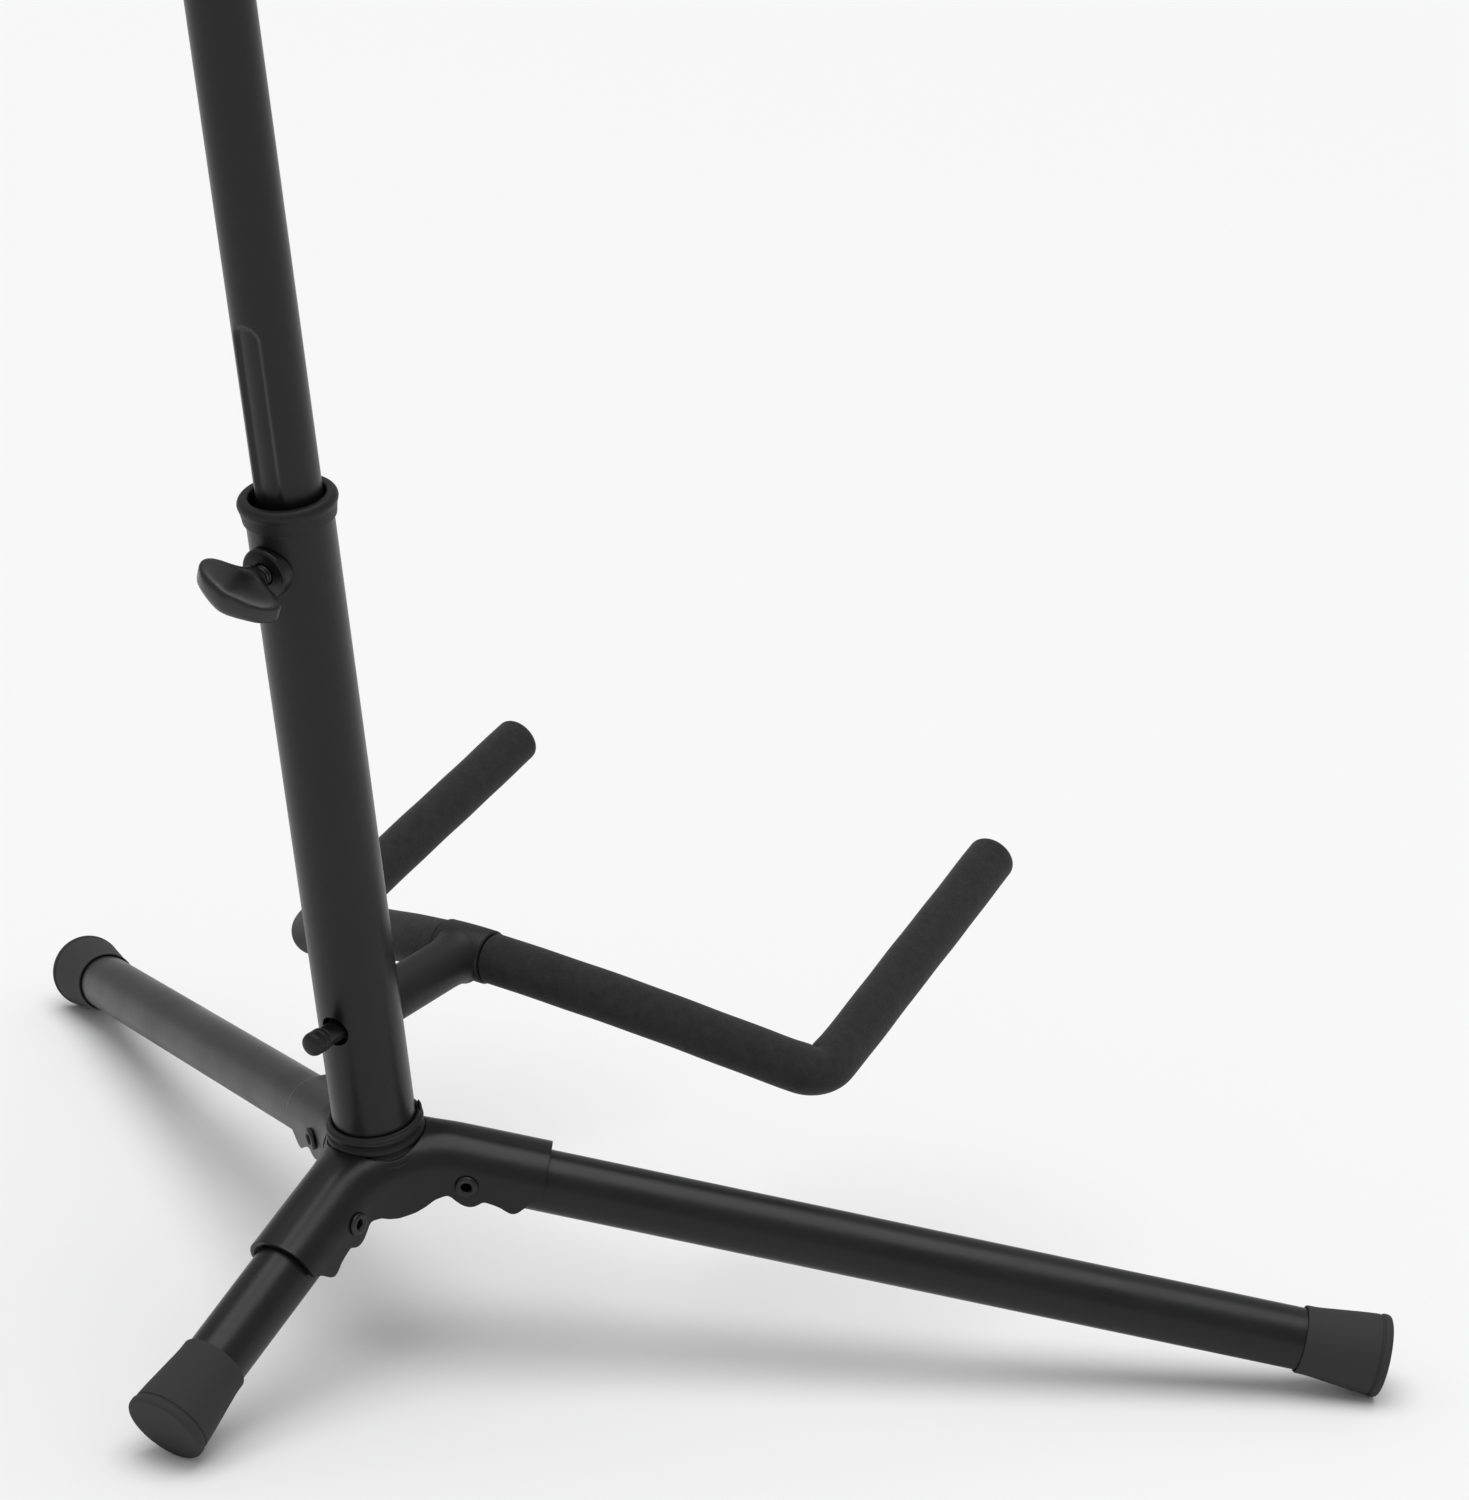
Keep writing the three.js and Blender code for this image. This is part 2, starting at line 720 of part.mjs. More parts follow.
function add(parent, name, geometry, material) {
  const mesh = new THREE.Mesh(geometry, material);
  mesh.name = name;
  parent.add(mesh);
  return mesh;
}

// hub and lower mast
add(hubFrame, 'hub_body', hubBody(), materials.castHub);
add(hubFrame, 'hub_collar', hubCollar(), materials.blackPlastic);
const washer = ring(boltRadius + gap, 8, boltHeadTop + gap, washerTop, 24);
add(hubFrame, 'hub_bolt', hubBolt(), materials.darkSteel);
add(hubFrame, 'hub_washer', washer, materials.darkSteel);
add(hubFrame, 'mast_foot_plug', mastFootPlug(), materials.blackPlastic);
add(hubFrame, 'lower_tube', lowerTube(), materials.paintedSteel);
add(hubFrame, 'lower_tube_end_ring', endRing(), materials.blackPlastic);

// legs
for (const [name, heading] of legHeadings) {
  const length = name === 'rear' ? rearLegLength : frontLegLength;
  const leg = new THREE.Group();
  leg.rotation.set(0, droop, heading, 'ZYX');
  hubFrame.add(leg);
  add(leg, `${name}_leg_rivet`, pivotRivet(), materials.darkSteel);
  add(leg, `${name}_leg_knuckle`, legKnuckle(), materials.blackPlastic);
  add(leg, `${name}_leg_tube`, legTube(length), materials.paintedSteel);
  add(leg, `${name}_foot_cap`, footCap(length), materials.rubber);
}

// upper mast and its padded rest
const mast = new THREE.Group();
mast.position.y = -mastOffset;
hubFrame.add(mast);
add(mast, 'upper_tube', upperTube(), materials.paintedSteel);
add(mast, 'upper_tube_foot_plug', upperTubePlug(), materials.blackPlastic);
const rest = new THREE.Group();
rest.position.z = restHeight;
rest.rotation.z = -Math.PI / 2;
mast.add(rest);
const restSleeveFrom = restTeeHalfLength + gap;
add(rest, 'rest_head', restHead(), materials.blackPlastic);
add(rest, 'rest_rod', barRod(restRoute), materials.paintedSteel);
add(rest, 'rest_sleeve_left', barSleeve(restRoute, -1, restSleeveFrom), materials.foam);
add(rest, 'rest_sleeve_right', barSleeve(restRoute, 1, restSleeveFrom), materials.foam);

// clamp screw
const clamp = new THREE.Group();
clamp.position.z = clampHeight;
clamp.rotation.x = -Math.PI / 2;
hubFrame.add(clamp);
const knob = add(clamp, 'clamp_knob', wingKnob(), materials.blackPlastic);
knob.rotation.z = -wingTurn;
add(clamp, 'clamp_screw', clampScrew(), materials.steel);
add(clamp, 'clamp_boss', clampBoss(), materials.paintedSteel);

// cradle
const cradle = new THREE.Group();
cradle.position.z = cradleHeight;
cradle.rotation.set(0, cradleDroop, -Math.PI / 2, 'ZYX');
hubFrame.add(cradle);
const cradleSleeveFrom = teeHalfLength + gap;
add(cradle, 'cradle_tee', cradleTee(), materials.blackPlastic);
add(cradle, 'cradle_rod', barRod(cradleRoute), materials.paintedSteel);
add(cradle, 'cradle_sleeve_left', barSleeve(cradleRoute, -1, cradleSleeveFrom), materials.foam);
add(cradle, 'cradle_sleeve_right', barSleeve(cradleRoute, 1, cradleSleeveFrom), materials.foam);
add(cradle, 'cradle_pin', cradlePin(), materials.steel);
add(cradle, 'cradle_pin_cap', pinCap(), materials.blackPlastic);
add(cradle, 'cradle_spring', pinSpring(), materials.steel);

// The feet are flat where they stand, at height 0.
stand.updateMatrixWorld(true);
for (const [name] of legHeadings) {
  const cap = stand.getObjectByName(`${name}_foot_cap`);
  const centre = new THREE.Box3().setFromObject(cap).getCenter(new THREE.Vector3());
  const floor = new THREE.BoxGeometry(80, 80, 20).translate(centre.x, centre.y, -10);
  floor.applyMatrix4(cap.matrixWorld.clone().invert());
  cap.geometry = toGeometry(toSolid(cap.geometry).subtract(toSolid(floor)));
}

// The origin stands at the middle of the base of the bounding box.
const bounds = new THREE.Box3().setFromObject(stand, true);
const middle = bounds.getCenter(new THREE.Vector3());
stand.position.set(-middle.x, -middle.y, -bounds.min.z);
stand.updateMatrixWorld(true);

export default stand;
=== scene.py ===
"""Looks for a folding tripod instrument stand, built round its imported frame.

Every piece is a surface worked out with numpy in one of the stand's own local frames, in
millimetres, and carried into the model's frame in metres.
"""

import json
import math

import bmesh
import bpy
import numpy as np
from mathutils import Matrix, Vector


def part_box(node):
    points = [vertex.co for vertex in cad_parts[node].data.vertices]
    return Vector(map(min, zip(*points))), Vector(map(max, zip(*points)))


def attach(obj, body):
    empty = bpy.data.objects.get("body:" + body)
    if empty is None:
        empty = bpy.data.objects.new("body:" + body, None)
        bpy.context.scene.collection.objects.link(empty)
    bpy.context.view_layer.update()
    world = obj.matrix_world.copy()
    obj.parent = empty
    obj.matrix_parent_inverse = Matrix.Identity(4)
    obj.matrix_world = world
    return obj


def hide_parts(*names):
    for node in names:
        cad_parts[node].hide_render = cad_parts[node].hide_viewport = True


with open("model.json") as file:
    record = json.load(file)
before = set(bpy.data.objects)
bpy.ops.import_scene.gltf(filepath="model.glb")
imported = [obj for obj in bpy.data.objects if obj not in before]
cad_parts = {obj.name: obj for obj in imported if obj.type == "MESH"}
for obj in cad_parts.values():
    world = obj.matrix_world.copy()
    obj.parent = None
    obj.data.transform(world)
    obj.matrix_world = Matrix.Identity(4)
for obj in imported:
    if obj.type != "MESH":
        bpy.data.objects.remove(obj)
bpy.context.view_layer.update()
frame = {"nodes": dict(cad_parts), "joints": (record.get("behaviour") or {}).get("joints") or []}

bl_info = {
    "name": "Instrument stand",
    "version": (1, 0, 0),
    "blender": (4, 5, 0),
    "location": "View3D > Sidebar > Stand",
    "description": "Builds the surfaces, finishes and stage of a folding instrument stand",
    "category": "Object",
}

MM = 0.001
LEGS = ("rear", "left", "right")
ROUND = 96  # columns round a tube
GAP = 0.3


# ---- sizes and colours that a user would change -----------------------------------------------


def length(name, description, default):
    """A length in metres that shows in the sidebar."""
    return bpy.props.FloatProperty(
        name=name, description=description, default=default, min=0.0, unit="LENGTH", precision=4)


def colour(name, description, default):
    """A colour that shows in the sidebar."""
    return bpy.props.FloatVectorProperty(
        name=name, description=description, default=default, size=3, min=0.0, max=1.0,
        subtype="COLOR")


class StandSizes(bpy.types.PropertyGroup):
    """The stand's driving sizes."""

    clamp_height: length("Clamp height", "Hub centre to the clamp screw, along the mast", 0.1986)
    lower_radius: length("Lower tube", "Outside radius of the mast's lower tube", 0.0125)
    upper_radius: length("Upper tube", "Outside radius of the mast's upper tube", 0.0095)
    leg_radius: length("Leg tube", "Outside radius of a leg's tube", 0.0095)
    front_leg: length("Front leg", "Hub centre to the end of a front leg's foot", 0.3111)
    sleeve_radius: length("Foam sleeve", "Outside radius of the foam sleeves", 0.00775)
    groove_depth: length("Groove depth", "Depth of the groove pressed in the upper tube", 0.0013)
    droop: bpy.props.FloatProperty(
        name="Leg droop", description="Fall of the legs below the hub's own plane",
        default=math.radians(16.74), subtype="ANGLE", unit="ROTATION")


class StandFinish(bpy.types.PropertyGroup):
    """The stand's colours."""

    paint: colour("Tube paint", "Powder coat on the tubes", (0.0066, 0.0068, 0.0074))
    hub_paint: colour("Hub paint", "Paint on the pressed hub", (0.0058, 0.0060, 0.0066))
    moulding: colour("Moulding", "Moulded nylon of the tees and rings", (0.0076, 0.0076, 0.0081))
    knob: colour("Knob", "Plastic of the clamp knob", (0.0050, 0.0050, 0.0056))
    rubber: colour("Rubber", "Rubber of the foot caps", (0.0120, 0.0120, 0.0124))
    foam: colour("Foam", "Foam of the padded arms", (0.0200, 0.0200, 0.0205))
    steel: colour("Steel", "Blackened steel of pins and screws", (0.0330, 0.0335, 0.0350))
    floor: colour("Floor", "Studio floor", (0.9000, 0.9000, 0.9050))


def size(name):
    """A driving size in millimetres."""
    return getattr(bpy.context.scene.stand_sizes, name) / MM


# ---- the stand's local frames -----------------------------------------------------------------


def joint(name):
    return next(j for j in frame["joints"] if j["name"] == name)


def axes(origin, x, y, z):
    """A 4x4 matrix from local millimetres to the model's metres."""
    matrix = np.eye(4)
    matrix[:3, :3] = np.stack([x, y, z], axis=1) * MM
    matrix[:3, 3] = origin
    return matrix


def unit(vector):
    """The vector at length one."""
    return vector / np.linalg.norm(vector)


def hub_axes():
    """Z runs up the leaning mast, X across the stand and Y to its rear, from the hub's centre."""
    up = unit(np.array(joint("mast_slide")["axis"], float))
    back = unit(np.array(joint("clamp_travel")["axis"], float))
    clamp = np.array(joint("clamp_turn")["pos_m"], float)
    origin = clamp - up * bpy.context.scene.stand_sizes.clamp_height
    return origin, np.cross(back, up), back, up


def hub_frame():
    """The hub's frame: its axis is the lower tube's."""
    return axes(*hub_axes())


def mast_frame():
    """The upper tube's frame: its axis stands a little forward of the lower tube's."""
    origin, across, back, up = hub_axes()
    return axes(origin - back * MAST_OFFSET * MM, across, back, up)


def leg_frame(name):
    """X runs out along the leg from the hub's centre, and Y is the pivot's axis."""
    origin = hub_axes()[0]
    pivot = joint(name + "_leg_fold")
    out = unit(np.array(pivot["pos_m"], float) - origin)
    across = unit(np.array(pivot["axis"], float))
    return axes(origin, out, across, np.cross(out, across))


def cradle_frame():
    """X runs forward along the cradle's stem from the mast's axis, and Y across the stand."""
    turn = joint("cradle_turn")
    out = unit(np.array(turn["axis"], float))
    across = hub_axes()[1]
    return axes(np.array(turn["pos_m"], float), out, across, np.cross(out, across))


def clamp_frame():
    """Z runs out along the clamp screw from the mast's axis."""
    origin, across, back, up = hub_axes()
    return axes(origin + up * size("clamp_height") * MM, across, -up, back)


def rest_frame():
    """X runs forward from the upper tube's axis at the rest's height, and Y across the stand."""
    origin, across, back, up = hub_axes()
    start = origin - back * MAST_OFFSET * MM + up * REST_HEIGHT * MM
    return axes(start, -back, across, up)


# ---- surfaces ---------------------------------------------------------------------------------


def rounded(outline, closed=False, steps=5):
    """An outline of [radius, height, fillet] points with each corner turned into a curve.

    Between two fillets the line is straight, and a fillet is the parabola that touches both of
    its lines the given distance away from the corner.
    """
    points = np.array([p[:2] for p in outline], float)
    fillets = [p[2] if len(p) > 2 else 0.0 for p in outline]
    count = len(points)
    made = []
    for i, fillet in enumerate(fillets):
        ends = not closed and i in (0, count - 1)
        if ends or fillet <= 0:
            made.append(points[i][None])
            continue
        before, after = points[i - 1], points[(i + 1) % count]
        start = points[i] + unit(before - points[i]) * fillet
        end = points[i] + unit(after - points[i]) * fillet
        t = np.linspace(0, 1, steps + 1)[:, None]
        made.append((1 - t) ** 2 * start + 2 * t * (1 - t) * points[i] + t ** 2 * end)
    return np.concatenate(made)


def supported(profile, closed=False, margin=0.25):
    """The same profile with extra points near the ends of its long straight stretches, so that
    flat faces stay flat when they are shaded smooth."""
    points = np.concatenate([profile, profile[:1]]) if closed else profile
    steps = np.diff(points, axis=0)
    lengths = np.linalg.norm(steps, axis=1)
    made = []
    for start, step, span in zip(points[:-1], steps, lengths):
        made.append(start)
        if span > 4 * margin:
            made.append(start + step * margin / span)
            made.append(start + step * (1 - margin / span))
    if not closed:
        made.append(points[-1])
    return np.array(made)


def turned(profile, columns=ROUND, axis="z"):
    """A surface of revolution: the point at (radius, height) goes once round the axis."""
    angle = np.linspace(0, 2 * np.pi, columns, endpoint=False)
    radius, height = profile[:, 0][:, None], profile[:, 1][:, None]
    ring = radius * np.cos(angle), radius * np.sin(angle), height + 0 * angle
    x, y, z = ring
    order = {"z": (x, y, z), "x": (z, x, y), "y": (y, z, x)}[axis]
    return np.stack(order, axis=-1)


def grid_mesh(grid, wrap_rows=False):
    """Vertices and faces of a grid whose columns go once round. The first and last rows are
    closed by their middle point, or joined to each other where wrap_rows is set."""
    rows, columns = grid.shape[:2]
    vertices = grid.reshape(-1, 3)
    last = rows if wrap_rows else rows - 1
    i, j = np.meshgrid(np.arange(last), np.arange(columns), indexing="ij")
    a = i * columns + j
    b = i * columns + (j + 1) % columns
    c = ((i + 1) % rows) * columns + (j + 1) % columns
    d = ((i + 1) % rows) * columns + j
    faces = np.stack([a, b, c, d], axis=-1).reshape(-1, 4).tolist()
    if wrap_rows:
        return vertices, faces
    middles = np.stack([grid[0].mean(axis=0), grid[-1].mean(axis=0)])
    first, final = rows * columns, rows * columns + 1
    j = np.arange(columns)
    near = np.stack([j * 0 + first, (j + 1) % columns, j], axis=-1)
    base = (rows - 1) * columns
    far = np.stack([j * 0 + final, base + j, base + (j + 1) % columns], axis=-1)
    return np.concatenate([vertices, middles]), faces + near.tolist() + far.tolist()


def facing_out(vertices, faces):
    """The faces, all turned round if the closed mesh that they make is inside out."""
    triangles = np.array([f[:3] for f in faces] + [[f[0], f[2], f[3]] for f in faces if len(f) == 4])
    a, b, c = (vertices[triangles[:, k]] for k in range(3))
    volume = np.einsum("ij,ij->i", a, np.cross(b, c)).sum()
    return faces if volume > 0 else [face[::-1] for face in faces]


def make_object(name, parts, matrix):
    """An object from a list of (vertices, faces), moved from a local frame into the model's."""
    all_vertices, all_faces, start = [], [], 0
    for vertices, faces in parts:
        faces = facing_out(vertices, faces)
        all_vertices.append(vertices @ matrix[:3, :3].T + matrix[:3, 3])
        all_faces += [[k + start for k in face] for face in faces]
        start += len(vertices)
    mesh = bpy.data.meshes.new(name)
    mesh.from_pydata(np.concatenate(all_vertices), [], all_faces)
    made = bpy.data.objects.new(name, mesh)
    bpy.context.scene.collection.objects.link(made)
    return made


def apply_modifiers(obj):
    """The object's mesh becomes what its modifiers make of it."""
    graph = bpy.context.evaluated_depsgraph_get()
    mesh = bpy.data.meshes.new_from_object(obj.evaluated_get(graph))
    obj.modifiers.clear()
    old = obj.data
    obj.data = mesh
    bpy.data.meshes.remove(old)


def combine(obj, tool, operation):
    """Joins a tool to an object, or cuts it away, and removes the tool."""
    step = obj.modifiers.new("combine", "BOOLEAN")
    step.operation, step.object, step.solver = operation, tool, "EXACT"
    bpy.context.view_layer.update()
    apply_modifiers(obj)
    bpy.data.objects.remove(tool)


def finish(obj, body, material, nodes, sharp=38):
    """Shades a piece, gives it its material and hangs it on its body."""
    mesh = obj.data
    mesh.shade_smooth()
    mesh.set_sharp_from_angle(angle=math.radians(sharp))
    mesh.materials.clear()
    mesh.materials.append(material)
    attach(obj, body)
    if nodes:
        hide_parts(*nodes)
    return obj


def turned_piece(name, outline, matrix, axis="z", closed=False, columns=ROUND, steps=5):
    """A turned solid from a filleted outline: closed on itself, or capped at both ends."""
    profile = supported(rounded(outline, closed, steps), closed)
    grid = turned(profile, columns, axis)
    return make_object(name, [grid_mesh(grid, wrap_rows=closed)], matrix)


def peg(radius, start, end, matrix, axis, columns=64):
    """A plain round tool for cutting holes."""
    grid = turned(np.array([[radius, start], [radius, end]]), columns, axis)
    return make_object("tool", [grid_mesh(grid)], matrix)


# ---- materials --------------------------------------------------------------------------------


PAINT_ROUGHNESS = 0.34


class Finish:
    """A Principled material with small helpers for its procedural parts."""

    def __init__(self, name, base, roughness, metallic=0.0):
        self.material = bpy.data.materials.new(name)
        self.material.use_nodes = True
        self.tree = self.material.node_tree
        self.shader = self.tree.nodes["Principled BSDF"]
        self.base = base
        self.shader.inputs["Base Color"].default_value = (*base, 1)
        self.shader.inputs["Roughness"].default_value = roughness
        self.shader.inputs["Metallic"].default_value = metallic
        self.place = self.tree.nodes.new("ShaderNodeTexCoord").outputs["Object"]

    def link(self, source, target):
        self.tree.links.new(source, target)

    def noise(self, scale, detail=3.0, roughness=0.55):
        node = self.tree.nodes.new("ShaderNodeTexNoise")
        node.inputs["Scale"].default_value = scale
        node.inputs["Detail"].default_value = detail
        node.inputs["Roughness"].default_value = roughness
        self.link(self.place, node.inputs["Vector"])
        return node.outputs["Fac"]

    def cells(self, scale, randomness=1.0):
        node = self.tree.nodes.new("ShaderNodeTexVoronoi")
        node.inputs["Scale"].default_value = scale
        node.inputs["Randomness"].default_value = randomness
        self.link(self.place, node.inputs["Vector"])
        return node.outputs["Distance"]

    def ramp(self, source, low, high, start, end):
        """A value that goes from start to end as the source goes from low to high."""
        node = self.tree.nodes.new("ShaderNodeMapRange")
        for key, value in zip(("From Min", "From Max", "To Min", "To Max"), (low, high, start, end)):
            node.inputs[key].default_value = value
        self.link(source, node.inputs["Value"])
        return node.outputs["Result"]

    def tint(self, source, dark, light):
        """Base colour between dark and light times the plain one, by the source's value."""
        node = self.tree.nodes.new("ShaderNodeMix")
        node.data_type = "RGBA"
        node.inputs["A"].default_value = (*(c * dark for c in self.base), 1)
        node.inputs["B"].default_value = (*(c * light for c in self.base), 1)
        self.link(source, node.inputs["Factor"])
        self.link(node.outputs["Result"], self.shader.inputs["Base Color"])

    def rough(self, source):
        self.link(source, self.shader.inputs["Roughness"])

    def bump(self, *heights):
        """Bumps laid over one another, each a (source, strength, depth in metres)."""
        normal = None
        for source, strength, depth in heights:
            node = self.tree.nodes.new("ShaderNodeBump")
            node.inputs["Strength"].default_value = strength
            node.inputs["Distance"].default_value = depth
            self.link(source, node.inputs["Height"])
            if normal is not None:
                self.link(normal, node.inputs["Normal"])
            normal = node.outputs["Normal"]
        self.link(normal, self.shader.inputs["Normal"])


def colours():
    """The colours set in the sidebar."""
    return bpy.context.scene.stand_finish


def powder_coat(name, base, roughness):
    """Satin powder coat: a soft orange peel, fine grain and slightly uneven gloss."""
    made = Finish(name, base, roughness)
    patches = made.noise(38.0, 4.0)
    grain = made.noise(2600.0, 2.0)
    made.tint(made.ramp(patches, 0.35, 0.65, 0.0, 1.0), 0.9, 1.12)
    made.rough(made.ramp(patches, 0.3, 0.7, roughness - 0.03, roughness + 0.05))
    made.bump((made.noise(420.0, 2.0), 0.10, 0.0004), (grain, 0.12, 0.00012))
    made.shader.inputs["Specular IOR Level"].default_value = 0.3
    return made.material


def nylon():
    """Moulded nylon with a fine spark-eroded texture."""
    made = Finish("moulded_nylon", colours().moulding, 0.5)
    grain = made.noise(1700.0, 3.0)
    made.tint(made.ramp(made.noise(60.0), 0.3, 0.7, 0.0, 1.0), 0.88, 1.15)
    made.rough(made.ramp(grain, 0.3, 0.7, 0.44, 0.58))
    made.bump((grain, 0.22, 0.00015))
    made.shader.inputs["Specular IOR Level"].default_value = 0.3
    return made.material


def knob_plastic():
    """Glossier moulded plastic with faint flow and handling marks."""
    made = Finish("knob_plastic", colours().knob, 0.3)
    flow = made.noise(170.0, 5.0, 0.65)
    made.rough(made.ramp(flow, 0.35, 0.7, 0.26, 0.38))
    made.tint(flow, 0.85, 1.2)
    made.bump((made.noise(900.0, 2.0), 0.06, 0.0002))
    return made.material


def foot_rubber():
    """Matt rubber with a fine bloom and a dusty grain."""
    made = Finish("foot_rubber", colours().rubber, 0.62)
    bloom = made.noise(90.0, 5.0, 0.6)
    made.tint(made.ramp(bloom, 0.35, 0.7, 0.0, 1.0), 0.85, 1.35)
    made.rough(made.ramp(bloom, 0.3, 0.7, 0.55, 0.72))
    made.bump((made.noise(1300.0, 3.0), 0.25, 0.00018))
    made.shader.inputs["Specular IOR Level"].default_value = 0.3
    return made.material


def closed_foam():
    """Closed-cell foam: small cells with soft walls, pitted skin and a faint nap."""
    made = Finish("closed_cell_foam", colours().foam, 0.92)
    cells = made.cells(1500.0)
    skin = made.noise(300.0, 5.0, 0.7)
    made.tint(made.ramp(skin, 0.3, 0.72, 0.0, 1.0), 0.78, 1.3)
    made.rough(made.ramp(cells, 0.0, 0.7, 0.86, 1.0))
    made.bump((cells, 0.45, 0.00022), (skin, 0.3, 0.0004))
    made.shader.inputs["Sheen Weight"].default_value = 0.12
    made.shader.inputs["Sheen Roughness"].default_value = 0.5
    made.shader.inputs["Specular IOR Level"].default_value = 0.25
    return made.material


def black_steel():
    """Blackened steel with fine turning marks."""
    made = Finish("blackened_steel", colours().steel, 0.36, 0.85)
    wear = made.noise(260.0, 5.0, 0.65)
    made.tint(made.ramp(wear, 0.4, 0.75, 0.0, 1.0), 0.75, 1.8)
    made.rough(made.ramp(wear, 0.3, 0.7, 0.3, 0.48))
    made.bump((made.noise(1900.0, 2.0), 0.12, 0.0001))
    return made.material


def material(name):
    """One of the stand's finishes, made when it is first asked for."""
    found = bpy.data.materials.get(name)
    if found:
        return found
    paints = {"tube_paint": colours().paint, "hub_paint": colours().hub_paint}
    if name in paints:
        return powder_coat(name, paints[name], PAINT_ROUGHNESS)
    makers = {
        "moulded_nylon": nylon,
        "knob_plastic": knob_plastic,
        "foot_rubber": foot_rubber,
        "closed_cell_foam": closed_foam,
        "blackened_steel": black_steel,
    }
    return makers[name]()


# ---- hub --------------------------------------------------------------------------------------

CHANNEL_HALF = 11.6
CHANNEL_REACH = 51.0
CROWN = 10.0
WEB_RADIUS = 30.0
WALL = 1.4
ROOF_GAP = 2.0  # leg tube to the outside of the roof
SEAT_RADIUS = 15.05
SEAT_FLOOR = -2.8
SEAT_HOLE = 4.4
DIP, DIP_REACH = 4.0, 26.0
PIVOT = 28.3
PIVOT_HOLE = 2.8
LOBE = 7.2

# The side wall's lower edge, as (distance along the leg, height above its axis), away from the
# lobe under the pivot: an arch, then a small lug by the channel's mouth.
WALL_ARCH = ((0, -12.6), (6, -12.5), (9, -12.1), (12, -11.1), (15, -9.2), (18, -6.6), (21.6, -4.7))
WALL_LUG = ((35.0, -4.4), (37.4, -4.7), (39.6, -5.2), (41.6, -6.1), (43.2, -6.6), (44.8, -6.0),
            (46.4, -3.9), (48.0, -1.3), (50.2, 0.8), (52.0, 1.8))


def wall_foot(along):
    """Height of the side wall's lower edge over the leg's axis: the listed points, joined by
    the circle of the lobe, and softened by averaging over a millimetre."""
    points = np.array(WALL_ARCH + WALL_LUG)

    def edge(at):
        line = np.interp(at, points[:, 0], points[:, 1])
        lobe = -np.sqrt(np.clip(LOBE ** 2 - (at - PIVOT) ** 2, 0, None))
        return np.where(np.abs(at - PIVOT) < LOBE, np.minimum(line, lobe), line)

    shifts = np.linspace(-0.7, 0.7, 7)
    return np.mean([edge(along + shift) for shift in shifts], axis=0)


def half_notch(rows_up=8, rows_over=18):
    """Half of the skin between two channels, in the arm's plan frame: x out along the arm, y
    sideways from its middle and z up the mast.

    Each column starts on the hub's plan outline, which is straight beside the channel and then
    an arc. It climbs the wall from its lower edge, then follows the crown, a quarter circle of
    the crown's radius, in towards the channel's middle line or the mast's seat. The whole skin
    falls with the distance from the mast by the legs' droop, and dips towards the seat.
    """
    droop = size("droop") * MM
    outline_half, arc = CHANNEL_HALF, WEB_RADIUS
    turn = math.radians(30)
    tangent = (outline_half + arc) / math.tan(math.radians(60))
    centre = np.array([tangent, outline_half + arc])
    mouth = CHANNEL_REACH * math.cos(droop)
    straight = np.linspace(mouth, tangent, 44)
    corner = math.atan2(tangent - SEAT_RADIUS, outline_half + arc)
    swing = np.concatenate([np.linspace(0, corner, 14), np.linspace(corner, turn, 12)[1:]])
    angle = np.concatenate([0 * straight, swing[1:]])
    heading = np.stack([-np.sin(angle), -np.cos(angle)], axis=1)
    start = np.concatenate([
        np.stack([straight, 0 * straight + outline_half], axis=1),
        centre + arc * heading[len(straight):],
    ])
    to_middle = start[:, 1] / np.cos(angle)
    along = np.einsum("ij,ij->i", start, heading)
    beyond = along ** 2 - (start ** 2).sum(axis=1) + SEAT_RADIUS ** 2
    to_seat = -along - np.sqrt(np.clip(beyond, 0, None))
    seated = angle > corner - 1e-9
    inset_end = np.where(seated, to_seat, to_middle)
    share = 1 - np.cos(np.linspace(0, np.pi / 2, rows_over))
    inset = share[:, None] * inset_end
    plan = start + inset[..., None] * heading
    reach = np.linalg.norm(plan, axis=-1)
    roof = (size("leg_radius") + ROOF_GAP) / math.cos(droop)
    shy = np.clip(CROWN - inset, 0, None)
    near = np.clip((DIP_REACH - reach) / DIP_REACH, 0, 1)
    dip = DIP * near ** 2 * (3 - 2 * near)
    height = roof - CROWN + np.sqrt(CROWN ** 2 - shy ** 2) - math.tan(droop) * reach - dip
    axis_along = plan[0, :, 0] / math.cos(droop)
    foot = wall_foot(axis_along)
    foot_height = (foot - plan[0, :, 0] * math.sin(droop)) / math.cos(droop)
    climb = np.linspace(0, 1, rows_up, endpoint=False)[:, None]
    wall_height = foot_height + climb * (height[0] - foot_height)
    wall_plan = np.broadcast_to(plan[0], (rows_up,) + plan[0].shape)
    x = np.concatenate([wall_plan[..., 0], plan[..., 0]])
    y = np.concatenate([wall_plan[..., 1], plan[..., 1]])
    z = np.concatenate([wall_height, height])
    # Square the channel's mouth to its leg: slide each column's points along the leg.
    along_leg = x * math.cos(droop) - z * math.sin(droop)
    ease = np.clip((plan[0, :, 0] - tangent) / 9.0, 0, 1)
    slide = ease * (axis_along - along_leg)
    x, z = x + slide * math.cos(droop), z - slide * math.sin(droop)
    return np.stack([x, y, z], axis=-1), seated


def about_z(points, angle):
    """The points, turned about their frame's z."""
    c, s = math.cos(angle), math.sin(angle)
    x, y, z = points[..., 0], points[..., 1], points[..., 2]
    return np.stack([c * x - s * y, s * x + c * y, z], axis=-1)


